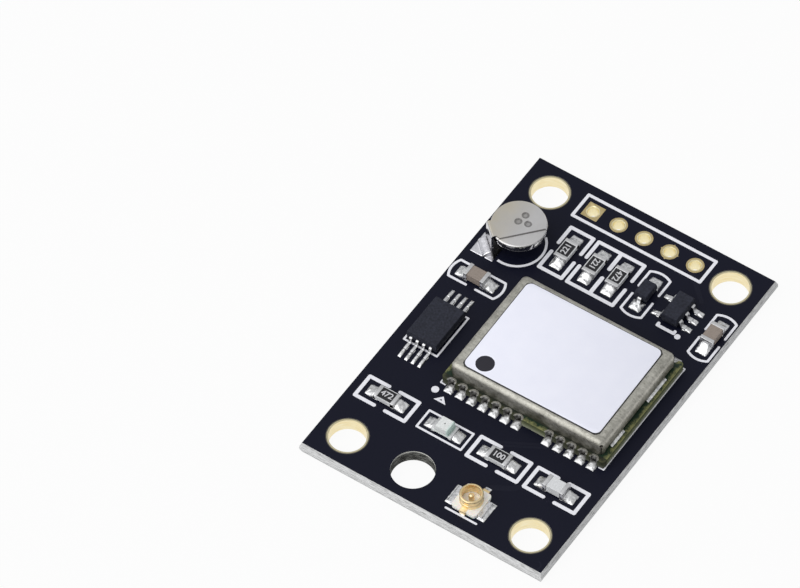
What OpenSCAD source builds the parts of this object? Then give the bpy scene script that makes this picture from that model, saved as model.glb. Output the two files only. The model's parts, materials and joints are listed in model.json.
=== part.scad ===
// Satellite receiver module: a carrier board with a shielded receiver, a backup cell and a coax socket.
// The board lies flat, with its underside on z = 0 and the header row at its back edge.

/* [Circuit board] */
// Width of the board, along the header row
board_w = 23.5; // [21:0.1:30]
// Length of the board, from the socket's end to the header row
board_l = 35.4; // [31.8:0.1:45]
// Thickness of the board with its mask
board_t = 1.25; // [1:0.05:1.6]
// How far the broken middle of the scored edges stands out past the faces
score_out = 0.17; // [0.05:0.01:0.25]
// Thickness of that broken middle
score_web = 0.35; // [0.2:0.05:0.5]
// Corner hole centres, in from the side edges
hole_in_x = 2.75; // [2.6:0.05:3]
// Corner hole centres, in from the end edges
hole_in_y = 2.625; // [2.5:0.025:2.8]
// Radius of the corner holes
hole_r = 1.6; // [1.3:0.05:1.65]
// Width of the bare ring around a corner hole
hole_ring = 0.23; // [0.1:0.01:0.3]
// Radius of the plain hole
plain_hole_r = 1.88; // [1.2:0.02:2]
// Plain hole centre, as a share of the board's width from the left
plain_hole_share = 0.3885; // [0.3785:0.0005:0.3985]
// Plain hole centre, from the front edge
plain_hole_y = 2.77; // [2.5:0.01:3.2]
// Thickness of the plating in the holes and of their rings
plating = 0.05; // [0.03:0.01:0.08]
// Thickness of a tinned land on the board
land_t = 0.06; // [0.03:0.01:0.1]

/* [Header row] */
// Distance along the row from a corner hole to the nearest header hole
header_room = 3.92; // [3.6:0.02:4.2]
// Number of header holes
header_count = 5; // [4:1:5]
// Radius of a header hole
header_hole_r = 0.5; // [0.4:0.02:0.55]
// Wall of a header pad's barrel, inside the board
header_wall = 0.17; // [0.17:0.01:0.22]
// Radius of a header pad
header_pad_r = 0.78; // [0.7:0.02:0.9]
// How far the spoke tips of the ground pad reach past its round edge
spoke_tip = 0.1; // [0.02:0.02:0.16]
// Middle of the header row, right of the board's middle
header_x = 0.21; // [0:0.01:0.4]
// Header row, in from the back edge
header_in = 2.29; // [2.1:0.01:2.4]

/* [Printed legend] */
// Thickness of the printed ink
ink_t = 0.03; // [0.02:0.01:0.05]
// Width of a thick outline
ink_wide = 0.33; // [0.2:0.01:0.36]
// Width of a thin outline
ink_thin = 0.22; // [0.15:0.01:0.28]
// Room between a land and the outline around it
ink_room = 0.36; // [0.2:0.02:0.42]
// Gap between the two halves of an outline
ink_gap = 0.75; // [0.5:0.05:1.2]
// How far a rounded outline end bows out
ink_bow = 0.28; // [0.1:0.02:0.32]
// Radius of the index dot at the receiver
index_dot_r = 0.33; // [0.2:0.01:0.35]
// Width of the index triangle at the receiver
index_mark_w = 1.15; // [0.8:0.05:1.4]

/* [Receiver] */
// Length of the receiver along the board's width
receiver_w = 16; // [14:0.1:18]
// Width of the receiver along the board's length
receiver_l = 12.2; // [10.8:0.1:13.6]
// Thickness of the receiver's own board
receiver_t = 0.8; // [0.6:0.05:1]
// Corner radius of the receiver's own board
receiver_corner = 0.3; // [0.1:0.05:0.4]
// Middle of the receiver, as a share of the board's width from the left
receiver_across_share = 0.6005; // [0.5905:0.0005:0.6105]
// Middle of the receiver, as a share of the board's length from the front
receiver_along_share = 0.4945; // [0.4845:0.0005:0.5045]
// Distance between the two groups of half-holes on one edge
edge_gap = 3; // [2:0.1:3.4]
// Half-holes in the longer group
edge_long = 7; // [6:1:7]
// Half-holes in the shorter group
edge_short = 5; // [4:1:5]
// First half-hole, in from the receiver's end
edge_in = 1; // [0.9:0.05:1.2]
// Radius of a plated half-hole
edge_hole_r = 0.28; // [0.2:0.02:0.32]
// Width of the bare half ring around a half-hole
edge_ring = 0.13; // [0.06:0.01:0.15]
// Width of the lands under the half-holes
edge_land_w = 0.75; // [0.6:0.05:0.8]
// How far those lands show past the receiver
edge_land_out = 0.88; // [0.5:0.02:1]
// How far those lands reach under the receiver
edge_land_under = 0.6; // [0.4:0.05:0.9]
// Height of the solder against the receiver's edge
edge_solder_h = 0.42; // [0.2:0.02:0.5]

/* [Shield can] */
// How far the can's end walls stand in from the receiver's ends
can_in_x = 0.5; // [0.4:0.05:0.8]
// How far the can's long walls stand in from the receiver's edges
can_in_y = 0.5; // [0.5:0.05:0.8]
// Height of the can
can_h = 1.6; // [1.4:0.05:2]
// Thickness of the can's sheet
can_sheet = 0.2; // [0.1:0.02:0.25]
// Radius of the can's folded top edges
can_fold = 0.45; // [0.3:0.05:0.5]
// Radius of the can's upright corners
can_corner = 0.5; // [0.3:0.05:0.7]
// Radius of the small holes at the can's corners
can_hole_r = 0.16; // [0.1:0.01:0.2]
// Width of the open seams below those holes
can_seam = 0.08; // [0.04:0.01:0.12]
// Clear height under the end walls, between their feet
can_lift = 0.28; // [0.1:0.02:0.4]
// Length of the front foot of an end wall
can_foot_front = 1.9; // [1.2:0.1:2.4]
// Length of the back foot of an end wall
can_foot_back = 2.8; // [1.8:0.1:3.2]
// Middle of the front foot, ahead of the can's middle
can_foot_front_y = 3.35; // [3:0.05:3.6]
// Middle of the back foot, behind the can's middle
can_foot_back_y = 2.5; // [2.2:0.05:2.8]
// Size of the solder bead along a foot
bead = 0.2; // [0.1:0.02:0.3]

/* [Label] */
// How far the label's ends stay in from the can's ends
label_in_x = 0.9; // [0.7:0.05:1.5]
// How far the label's edges stay in from the can's edges
label_in_y = 0.55; // [0.55:0.05:1]
// Thickness of the label
label_t = 0.08; // [0.05:0.01:0.12]
// Corner radius of the label
label_r = 0.55; // [0.2:0.05:1]
// How far the label is stuck on askew, in degrees
label_turn = 0.6; // [-1:0.1:1]

/* [Inside the can] */
// Side of the square receiver chip
core_side = 6; // [5:0.1:6.4]
// Height of the receiver chip
core_h = 0.85; // [0.6:0.05:1]
// Length of the reference oscillator
oscillator_l = 2.5; // [2:0.1:3.2]
// Width of the reference oscillator
oscillator_w = 2; // [1.6:0.1:2.4]
// Height of the reference oscillator
oscillator_h = 0.75; // [0.5:0.05:0.9]
// Length of the clock crystal
crystal_l = 2; // [1.6:0.1:2.4]
// Width of the clock crystal
crystal_w = 1.2; // [1:0.1:1.6]
// Height of the clock crystal
crystal_h = 0.6; // [0.5:0.05:0.9]
// Length of the band filter
filter_l = 1.4; // [1.1:0.1:2]
// Width of the band filter
filter_w = 1.1; // [0.9:0.1:1.3]
// Height of the band filter
filter_h = 0.6; // [0.4:0.05:0.9]
// Length of a small passive part
passive_l = 1; // [0.6:0.1:1.1]
// Width and height of a small passive part
passive_w = 0.5; // [0.3:0.05:0.55]
// Number of small passive parts in the row
passive_count = 5; // [2:1:5]
// Room between the can's end walls and the parts beside them
wall_room = 0.6; // [0.3:0.05:0.8]

/* [Backup cell] */
// Radius of the cell
cell_r = 2.4; // [2.2:0.05:2.45]
// Height of the cell's wide can
cell_can_h = 0.75; // [0.6:0.05:1]
// Radius of the cell's narrow cap, which faces down
cell_cap_r = 1.9; // [1.6:0.05:2]
// Height of the cap below the can
cell_cap_h = 0.3; // [0.2:0.05:0.5]
// Radius of the can's rounded edges
cell_edge_r = 0.22; // [0.1:0.02:0.3]
// Clear height under the bottom tab
cell_lift = 1.19; // [0.8:0.05:1.4]
// Middle of the cell, as a share of the board's width from the left
cell_across_share = 0.1447; // [0.135:0.001:0.155]
// Middle of the cell, as a share of the board's length from the front
cell_along_share = 0.7655; // [0.755:0.001:0.775]
// Thickness of the tabs
tab_t = 0.15; // [0.1:0.01:0.2]
// Width of the tabs where they bend down
tab_w = 1.7; // [1.2:0.1:1.8]
// Direction of the top tab's leg, in degrees
top_tab_turn = 228; // [220:1:236]
// How far the top tab's leg stands from the cell's middle
top_tab_reach = 2.6; // [2.5:0.05:2.75]
// Straight edge of the top tab, from the cell's middle
top_tab_edge = 1.12; // [0.95:0.02:1.4]
// How far the top tab's edge stays in from the cell's
top_tab_in = 0.1; // [0.04:0.02:0.2]
// Length of the top tab's foot
top_tab_foot = 0.35; // [0.3:0.05:0.5]
// How far the solder over that foot reaches from the leg
foot_solder_run = 0.75; // [0.6:0.05:0.8]
// How high that solder climbs the leg
foot_solder_rise = 0.45; // [0.3:0.05:0.6]
// Direction of the bottom tab's leg, in degrees
bottom_tab_turn = 78; // [72:1:84]
// How far the bottom tab's leg stands from the cell's middle
bottom_tab_reach = 2.15; // [2.05:0.05:2.25]
// Radius of a weld mark
weld_r = 0.32; // [0.2:0.02:0.36]
// Depth of a weld mark
weld_deep = 0.05; // [0.02:0.01:0.08]
// Distance of the weld marks from their middle
weld_spread = 0.52; // [0.4:0.02:0.6]
// Width of the top tab's land
top_land_w = 2.25; // [2:0.05:2.3]
// Length of the top tab's land
top_land_l = 2.35; // [2.1:0.05:2.4]
// Width of the bottom tab's land
bottom_land_w = 1.6; // [1.4:0.05:1.7]
// Length of the bottom tab's land
bottom_land_l = 1.3; // [1.2:0.05:1.4]
// Radius of the outline printed round the cell
cell_ring_r = 2.44; // [2.4:0.02:2.6]
// How far that outline's middle is ahead of the cell's
cell_ring_shift = 0.24; // [0.1:0.02:0.3]

/* [Coax socket] */
// Middle of the socket, as a share of the board's width from the left
socket_share = 0.6362; // [0.6262:0.0005:0.6462]
// Middle of the socket, from the front edge
socket_y = 2.7; // [2.6:0.02:3.2]
// Width of the moulded base
socket_base_w = 2.4; // [2.2:0.05:2.6]
// Length of the moulded base
socket_base_l = 2.6; // [2.4:0.05:2.8]
// Height of the moulded base
socket_base_h = 0.35; // [0.32:0.01:0.45]
// Thickness of the base between the pin's tail and the shell's sheet
base_web = 0.04; // [0.02:0.01:0.06]
// Outer radius of the ring
ring_r = 1; // [0.9:0.02:1.1]
// Inner radius of the ring
ring_bore_r = 0.82; // [0.7:0.02:0.85]
// Height of the ring above the base
ring_h = 0.95; // [0.75:0.01:1.05]
// Depth of the snap groove round the ring
ring_groove = 0.06; // [0.02:0.01:0.08]
// Radius of the centre pin
pin_r = 0.24; // [0.2:0.01:0.3]
// Height of the centre pin above the base
pin_h = 0.78; // [0.5:0.02:0.85]
// Width of the pin's tail and of the front tongue
tail_w = 0.6; // [0.5:0.02:0.7]
// How far the pin's tail is right of the socket's middle
tail_shift = 0.42; // [0:0.02:0.5]
// How far the tail reaches past the base
tail_out = 0.36; // [0.2:0.02:0.4]
// How far the tail's land shows past it
tail_land_out = 0.32; // [0.1:0.02:0.4]
// How far the tongue reaches past the base
tongue_out = 0.12; // [0.1:0.01:0.2]
// Thickness of the shell's sheet and of the tail
shell_sheet = 0.12; // [0.1:0.01:0.13]
// Width of the wings at the sides
wing_w = 0.42; // [0.3:0.02:0.5]
// Length of the wings
wing_l = 1.7; // [1.4:0.05:1.8]
// How far the middle of the wings is ahead of the ring's
wing_shift = 0.12; // [0:0.02:0.2]
// How far the wings' lands show past them at the sides
wing_land_out = 0.32; // [0.1:0.02:0.4]
// How far the wings' lands show past them at the ends
wing_land_end = 0.17; // [0.1:0.01:0.25]

/* [Leaded parts] */
// Middle of the memory chip, as a share of the board's width from the left
memory_across_share = 0.1155; // [0.1055:0.0005:0.1255]
// Middle of the memory chip, as a share of the board's length from the front
memory_along_share = 0.4442; // [0.4342:0.0005:0.4542]
// Width of the memory body
memory_w = 3; // [2.8:0.05:3.1]
// Length of the memory body between its rows of leads
memory_l = 4.4; // [4:0.1:4.4]
// Height of the memory body
memory_h = 0.95; // [0.8:0.05:1.1]
// Distance between the memory leads
memory_pitch = 0.65; // [0.6:0.01:0.66]
// Leads on each end of the memory body
memory_leads_n = 4; // [2:1:4]
// Width of a memory lead
memory_lead_w = 0.26; // [0.2:0.01:0.3]
// How far a memory lead reaches from the body
memory_reach = 1; // [0.95:0.01:1.1]
// How far a memory land reaches past its lead
memory_land_out = 0.95; // [0.5:0.05:1]
// Middle of the regulator, as a share of the board's width from the left
regulator_across_share = 0.7902; // [0.78:0.001:0.8]
// Middle of the regulator, as a share of the board's length from the front
regulator_along_share = 0.7938; // [0.784:0.001:0.804]
// Width of the regulator body between its rows of leads
regulator_w = 1.6; // [1.5:0.02:1.7]
// Length of the regulator body
regulator_l = 2.9; // [2.8:0.02:3]
// Height of the regulator body
regulator_h = 1.05; // [0.9:0.05:1.2]
// Distance between the regulator leads
regulator_pitch = 0.95; // [0.9:0.01:0.98]
// Width of a regulator lead
regulator_lead_w = 0.4; // [0.3:0.02:0.45]
// How far a regulator lead reaches from the body
regulator_reach = 0.62; // [0.6:0.01:0.7]
// How far a regulator land reaches past its lead
regulator_land_out = 0.52; // [0.3:0.02:0.56]
// Middle of the diode, as a share of the board's width from the left
diode_across_share = 0.6492; // [0.6392:0.0005:0.6592]
// Middle of the diode, as a share of the board's length from the front
diode_along_share = 0.7986; // [0.789:0.001:0.809]
// Width of the diode body
diode_w = 1.25; // [1.1:0.05:1.3]
// Length of the diode body
diode_l = 1.7; // [1.6:0.02:1.8]
// Height of the diode body
diode_h = 0.85; // [0.7:0.05:1]
// Width of a diode lead
diode_lead_w = 0.35; // [0.3:0.01:0.4]
// How far a diode lead reaches from the body
diode_reach = 0.42; // [0.4:0.01:0.5]
// How far a diode land reaches past its lead
diode_land_out = 0.66; // [0.4:0.02:0.7]
// Width of a diode land
diode_land_w = 1.28; // [1:0.02:1.3]
// Clear height under the leaded bodies
stand_off = 0.08; // [0.04:0.02:0.15]
// Thickness of the leads
lead_t = 0.13; // [0.1:0.01:0.15]
// Bend radius of the leads, at mid thickness
lead_bend = 0.12; // [0.1:0.01:0.14]
// Slope of the leads' upright part, in degrees
lead_slope = 78; // [70:1:84]
// Lean of the moulded walls, as inset per height
draft = 0.16; // [0.05:0.01:0.2]

/* [Chip parts] */
// Length of a chip part
chip_l = 2; // [1.9:0.02:2.1]
// Width of a chip part
chip_w = 1.25; // [1.1:0.02:1.3]
// Height of a resistor
resistor_h = 0.5; // [0.4:0.02:0.6]
// Height of a capacitor
capacitor_h = 0.87; // [0.7:0.02:1]
// Height of the inductor
inductor_h = 0.85; // [0.7:0.02:1]
// Length of an end cap along the part
cap_band = 0.34; // [0.25:0.01:0.4]
// Thickness of an end cap
cap_t = 0.05; // [0.03:0.01:0.08]
// Bare rim beside a resistor's dark coat
coat_rim = 0.1; // [0.05:0.01:0.15]
// Width of a chip part's land
chip_land_w = 1.2; // [1.1:0.02:1.25]
// How far a chip part's land reaches past its end
chip_land_out = 0.93; // [0.7:0.01:0.95]
// How far a land reaches under the part
chip_land_under = 0.36; // [0.25:0.01:0.45]
// Share of a part's end that the solder climbs
solder_climb = 0.62; // [0.3:0.02:0.8]
// Back row of resistors, as a share of the board's length from the front
back_row_share = 0.7982; // [0.7882:0.0005:0.8082]
// First serial resistor, as a share of the board's width from the left
serial_a_share = 0.3135; // [0.3035:0.0005:0.3235]
// Second serial resistor, as a share of the board's width from the left
serial_b_share = 0.4323; // [0.4223:0.0005:0.4423]
// Back pull-up resistor, as a share of the board's width from the left
pull_back_share = 0.5297; // [0.5197:0.0005:0.5397]
// Output capacitor, in from the right edge
output_in = 1.19; // [1.15:0.01:1.3]
// Output capacitor, as a share of the board's length from the front
output_share = 0.7782; // [0.768:0.001:0.788]
// Input capacitor, as a share of the board's width from the left
input_across_share = 0.1149; // [0.1049:0.0005:0.1249]
// Input capacitor, as a share of the board's length from the front
input_along_share = 0.6166; // [0.6066:0.0005:0.6266]
// Front row of parts, as a share of the board's length from the front
front_row_share = 0.213; // [0.203:0.0005:0.223]
// Front pull-up resistor, as a share of the board's width from the left
pull_front_share = 0.1422; // [0.1322:0.0005:0.1522]
// Antenna feed resistor, as a share of the board's width from the left
feed_share = 0.6129; // [0.6029:0.0005:0.6229]
// Antenna feed inductor, as a share of the board's width from the left
inductor_share = 0.8528; // [0.8428:0.0005:0.8628]

/* [Status light] */
// Status light, as a share of the board's width from the left
light_share = 0.387; // [0.377:0.0005:0.397]
// Height of the light's base
light_base_h = 0.32; // [0.2:0.02:0.4]
// Length of the clear lens
lens_l = 1.3; // [1.1:0.02:1.34]
// Height of the lens above the base
lens_h = 0.55; // [0.3:0.02:0.7]
// Side of the die inside the lens
die_side = 0.28; // [0.2:0.02:0.4]
// Height of the die
die_h = 0.12; // [0.08:0.01:0.2]
// Thickness of the light's outline
light_ink = 0.19; // [0.15:0.01:0.22]
// How far the light's lands reach past its ends
light_land_out = 0.82; // [0.6:0.02:0.86]

/* [Hidden] */
$fn = 64;
// A cut runs this far past the face it opens
cut = 0.5;
// Steps in a small rounded corner and along a printed curve
corner_steps = 6;
arc_steps = 28;

// Edges of the board, its top face and the top of its lands
left = -board_w / 2;
right = board_w / 2;
front = -board_l / 2;
back = board_l / 2;
top = board_t;
land_top = top + land_t;

// A place on the board, given as shares of its width and length
function place(across, along) = [left + across * board_w, front + along * board_l];

// Places that the pieces of one part share
hole_places = [for (sx = [-1, 1], sy = [-1, 1]) [sx * (right - hole_in_x), sy * (back - hole_in_y)]];
header_pitch = 2 * (right - hole_in_x - header_room) / (header_count - 1);
header_places = [for (x = row(header_count, header_pitch)) [header_x + x, back - header_in]];
receiver_at = place(receiver_across_share, receiver_along_share);
receiver_top = land_top + receiver_t;
edge_cut_r = edge_hole_r + plating;
edge_pitch = (receiver_w - 2 * edge_in - edge_gap) / (edge_long + edge_short - 2);
edge_places = concat(
    [for (i = [0 : edge_long - 1]) -receiver_w / 2 + edge_in + i * edge_pitch],
    [for (i = [0 : edge_short - 1]) receiver_w / 2 - edge_in - i * edge_pitch]);
can_w = receiver_w - 2 * can_in_x;
can_l = receiver_l - 2 * can_in_y;
can_foot_places = [
    [-can_foot_front_y, can_foot_front],
    [can_foot_back_y, can_foot_back]];
// Where the parts beside the end walls stop
wall_x = can_w / 2 - can_sheet - wall_room;
cell_at = place(cell_across_share, cell_along_share);
cell_base = top + cell_lift + tab_t;
cell_top = cell_base + cell_cap_h + cell_can_h;
top_land_at = [top_tab_reach * cos(top_tab_turn) - top_tab_foot / 8, top_tab_reach * sin(top_tab_turn)];
bottom_land_at = [bottom_tab_reach * cos(bottom_tab_turn), bottom_tab_reach * sin(bottom_tab_turn)];
socket_at = [left + socket_share * board_w, front + socket_y];
// Underside of the shell's sheet inside the base, and the height of the wings that it ends in
shell_z = shell_sheet + base_web;
wing_h = shell_z + shell_sheet;
memory_at = place(memory_across_share, memory_along_share);
regulator_at = place(regulator_across_share, regulator_along_share);
diode_at = place(diode_across_share, diode_along_share);
light_at = place(light_share, front_row_share);
inductor_at = place(inductor_share, front_row_share);
input_cap_at = place(input_across_share, input_along_share);
output_cap_at = [right - output_in, front + output_share * board_l];
serial_a_at = place(serial_a_share, back_row_share);
serial_b_at = place(serial_b_share, back_row_share);
pull_back_at = place(pull_back_share, back_row_share);
pull_front_at = place(pull_front_share, front_row_share);
feed_at = place(feed_share, front_row_share);

// Each resistor's place and the way it lies, in degrees
resistor_places = [
    [serial_a_at, 90], [serial_b_at, 90], [pull_back_at, 90], [pull_front_at, 0], [feed_at, 0]];
capacitor_places = [[input_cap_at, 0], [output_cap_at, 90]];

// Points of an arc, from one angle to another
function arc(middle, r, from, to, steps) =
    [for (i = [0 : steps]) let (a = from + (to - from) * i / steps) middle + r * [cos(a), sin(a)]];

// Outline of a rectangle with round corners, about its middle
function round_rect(w, l, r) = concat(
    arc([w / 2 - r, l / 2 - r], r, 0, 90, corner_steps),
    arc([r - w / 2, l / 2 - r], r, 90, 180, corner_steps),
    arc([r - w / 2, r - l / 2], r, 180, 270, corner_steps),
    arc([w / 2 - r, r - l / 2], r, 270, 360, corner_steps));

// Section of a folded cover: square at the foot, round at the top corners
function cover_section(w, h, r) = concat(
    [[-w / 2, 0], [w / 2, 0]],
    arc([w / 2 - r, h - r], r, 0, 90, corner_steps),
    arc([r - w / 2, h - r], r, 90, 180, corner_steps));

// Section of a moulded body: leaning walls above and below a straight band at the parting line
function moulded_section(w, h, band, lean) =
    let (low = (h - band) / 2, high = (h + band) / 2, in = lean * low) [
        [in - w / 2, 0], [w / 2 - in, 0], [w / 2, low], [w / 2, high],
        [w / 2 - in, h], [in - w / 2, h], [-w / 2, high], [-w / 2, low]];

// Outline of a printed stroke with round ends
function stroke(p, q, w) =
    let (a = atan2(q[1] - p[1], q[0] - p[0])) concat(
        arc(q, w / 2, a - 90, a + 90, corner_steps),
        arc(p, w / 2, a + 90, a + 270, corner_steps));

// Side view of a bent lead, from the body's wall at u = 0 to its toe, with the foot's underside on z = 0
function lead_path(reach, rise) =
    let (
        drop = rise - lead_t / 2,
        turn_drop = lead_bend * (1 - cos(lead_slope)),
        turn_run = lead_bend * sin(lead_slope),
        slope_len = max(0, drop - 2 * turn_drop) / sin(lead_slope),
        shoulder = lead_t / 4,
        knee = [shoulder, rise],
        heel = [shoulder + 2 * turn_run + slope_len * cos(lead_slope), lead_t / 2])
    concat(
        [[0, rise, 0]],
        [for (i = [0 : corner_steps]) let (a = lead_slope * i / corner_steps)
            [knee[0] + lead_bend * sin(a), knee[1] - lead_bend * (1 - cos(a)), -a]],
        [for (i = [0 : corner_steps]) let (a = lead_slope * (1 - i / corner_steps))
            [heel[0] - lead_bend * sin(a), heel[1] + lead_bend * (1 - cos(a)), -a]],
        [[reach, lead_t / 2, 0]]);

// Outline of a strip of even thickness along a path of points and headings
function strip_outline(path, t) = concat(
    [for (p = path) [p[0] - t / 2 * sin(p[2]), p[1] + t / 2 * cos(p[2])]],
    [for (i = [len(path) - 1 : -1 : 0]) let (p = path[i])
        [p[0] + t / 2 * sin(p[2]), p[1] - t / 2 * cos(p[2])]]);

// Section of a solder fillet against an upright wall at u = 0, hollow like a real one
function fillet_section(run, rise) = concat(
    [[0, 0]],
    [for (i = [0 : corner_steps]) let (a = 90 * i / corner_steps) [run * (1 - sin(a)), rise * (1 - cos(a))]]);

// Section of a full solder joint against an upright wall at u = 0
function mound_section(run, rise) = concat(
    [[0, 0]],
    [for (i = [0 : corner_steps]) let (a = 90 * i / corner_steps) [run * cos(a), rise * sin(a)]]);

// Offsets of a row about its middle
function row(count, pitch) = [for (i = [0 : count - 1]) (i - (count - 1) / 2) * pitch];

// Puts a part at its place on the board, turned, with z = 0 at the top of its lands
module at(place, turn = 0) {
    translate([place[0], place[1], land_top]) rotate(turn) children();
}

// Extrudes a side view (u outwards, z up) across its width, centred
module across(width) {
    rotate([90, 0, 0]) linear_extrude(width, center = true) children();
}

// A box on z = 0, centred in plan
module block(w, l, h) {
    translate([-w / 2, -l / 2, 0]) cube([w, l, h]);
}

// A moulded body with four leaning walls
module moulded(w, l, h) {
    intersection() {
        across(l + cut) polygon(moulded_section(w, h, lead_t, draft));
        rotate(90) across(w + cut) polygon(moulded_section(l, h, lead_t, draft));
    }
}

// A row of bent leads that stand out along +X
module lead_row(reach, width, rise, offsets) {
    for (y = offsets)
        translate([0, y, 0]) across(width) polygon(strip_outline(lead_path(reach, rise), lead_t));
}

// Lands with a toe of solder for a row of leads that stand out along +X
module lead_solder_row(reach, out, width, offsets) {
    under = reach * 0.45;
    for (y = offsets) translate([0, y, 0]) {
        translate([reach - under, -width / 2, -land_t]) cube([under + out, width, land_t]);
        translate([reach, 0, 0]) across(width) polygon(fillet_section(out * 0.9, lead_t));
    }
}

// The ceramic block of a chip part, thinner where its end caps wrap it
module chip_block(h, side) {
    translate([0, 0, cap_t]) block(chip_l - 2 * cap_t, chip_w - 2 * side, h - 2 * cap_t);
}

// The two end caps of a chip part
module chip_caps(h, side) {
    difference() {
        for (s = [-1, 1]) translate([s * (chip_l - cap_band) / 2, 0, 0]) block(cap_band, chip_w, h);
        chip_block(h, side);
    }
}

// Lands and fillets at both ends of a part that lies along X
module end_solder(l, w, climb, out) {
    for (s = [0, 180]) rotate(s) {
        translate([l / 2 - chip_land_under, -chip_land_w / 2, -land_t])
            cube([chip_land_under + out, chip_land_w, land_t]);
        translate([l / 2, 0, 0]) across(min(w, chip_land_w)) polygon(fillet_section(out * 0.9, climb));
    }
}

// Ink printed on the board's mask
module printed() {
    translate([0, 0, top]) linear_extrude(ink_t) children();
}

// One half of a square outline round a chip part that lies along X
module square_half(end_in, side_in, w) {
    x = end_in + w / 2;
    y = side_in + w / 2;
    start = ink_gap / 2 + w / 2;
    polygon(stroke([start, y], [x, y], w));
    polygon(stroke([start, -y], [x, -y], w));
    polygon(stroke([x, -y], [x, y], w));
}

// One half of an outline with a bowed end
module bowed_half(end_in, side_in, w) {
    x = end_in - ink_bow + w / 2;
    y = side_in + w / 2;
    start = ink_gap / 2 + w / 2;
    bow_r = (y * y + ink_bow * ink_bow) / (2 * ink_bow);
    sweep = asin(y / bow_r);
    bow_at = [x + ink_bow - bow_r, 0];
    polygon(stroke([start, y], [x, y], w));
    polygon(stroke([start, -y], [x, -y], w));
    polygon(concat(
        arc(bow_at, bow_r + w / 2, -sweep, sweep, corner_steps * 2),
        arc(bow_at, bow_r - w / 2, sweep, -sweep, corner_steps * 2)));
}

// A board broken out of its panel: the edges were scored from both faces, and their middle was snapped
module scored_board() intersection() {
    w = board_w + 2 * score_out;
    l = board_l + 2 * score_out;
    lean = 2 * score_out / (board_t - score_web);
    across(l + cut) polygon(moulded_section(w, board_t, score_web, lean));
    rotate(90) across(w + cut) polygon(moulded_section(l, board_t, score_web, lean));
}

// Laminate with its mask, bored for the sleeves and pads that sit flush in it
module circuit_board() color("#22232b") difference() {
    scored_board();
    for (p = hole_places) translate([p[0], p[1], 0]) {
        translate([0, 0, -cut]) cylinder(r = hole_r + plating, h = board_t + 2 * cut);
        translate([0, 0, -cut]) cylinder(r = hole_r + hole_ring, h = plating + cut);
        translate([0, 0, board_t - plating]) cylinder(r = hole_r + hole_ring, h = plating + cut);
    }
    for (i = [0 : header_count - 1]) translate([header_places[i][0], header_places[i][1], 0]) {
        translate([0, 0, -cut]) cylinder(r = header_hole_r + header_wall, h = board_t + 2 * cut);
        translate([0, 0, -cut]) linear_extrude(plating + cut) header_pad_shape(i);
        translate([0, 0, board_t - plating]) linear_extrude(plating + cut) header_pad_shape(i);
    }
    translate([left + plain_hole_share * board_w, front + plain_hole_y, -cut])
        cylinder(r = plain_hole_r, h = board_t + 2 * cut);
}

// Tinned and gilt tubes with a ring at each face
module mounting_hole_sleeves() color("#d8c89a") for (p = hole_places)
    translate([p[0], p[1], 0]) difference() {
        union() {
            cylinder(r = hole_r + plating, h = board_t);
            cylinder(r = hole_r + hole_ring, h = plating);
            translate([0, 0, board_t - plating]) cylinder(r = hole_r + hole_ring, h = plating);
        }
        translate([0, 0, -cut]) cylinder(r = hole_r, h = board_t + 2 * cut);
    }

// Outline of one header pad: the first is square, and the ground pad shows the tips of its spokes
module header_pad_shape(i) {
    if (i == 0) square(2 * header_pad_r, center = true);
    else circle(r = header_pad_r);
    if (i == header_count - 2) rotate(45) square(sqrt(2) * (header_pad_r + spoke_tip), center = true);
}

module header_pads() color("#c9b06a") for (i = [0 : header_count - 1])
    translate([header_places[i][0], header_places[i][1], 0]) difference() {
        union() {
            cylinder(r = header_hole_r + header_wall, h = board_t);
            linear_extrude(plating) header_pad_shape(i);
            translate([0, 0, board_t - plating]) linear_extrude(plating) header_pad_shape(i);
        }
        translate([0, 0, -cut]) cylinder(r = header_hole_r, h = board_t + 2 * cut);
    }

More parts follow.
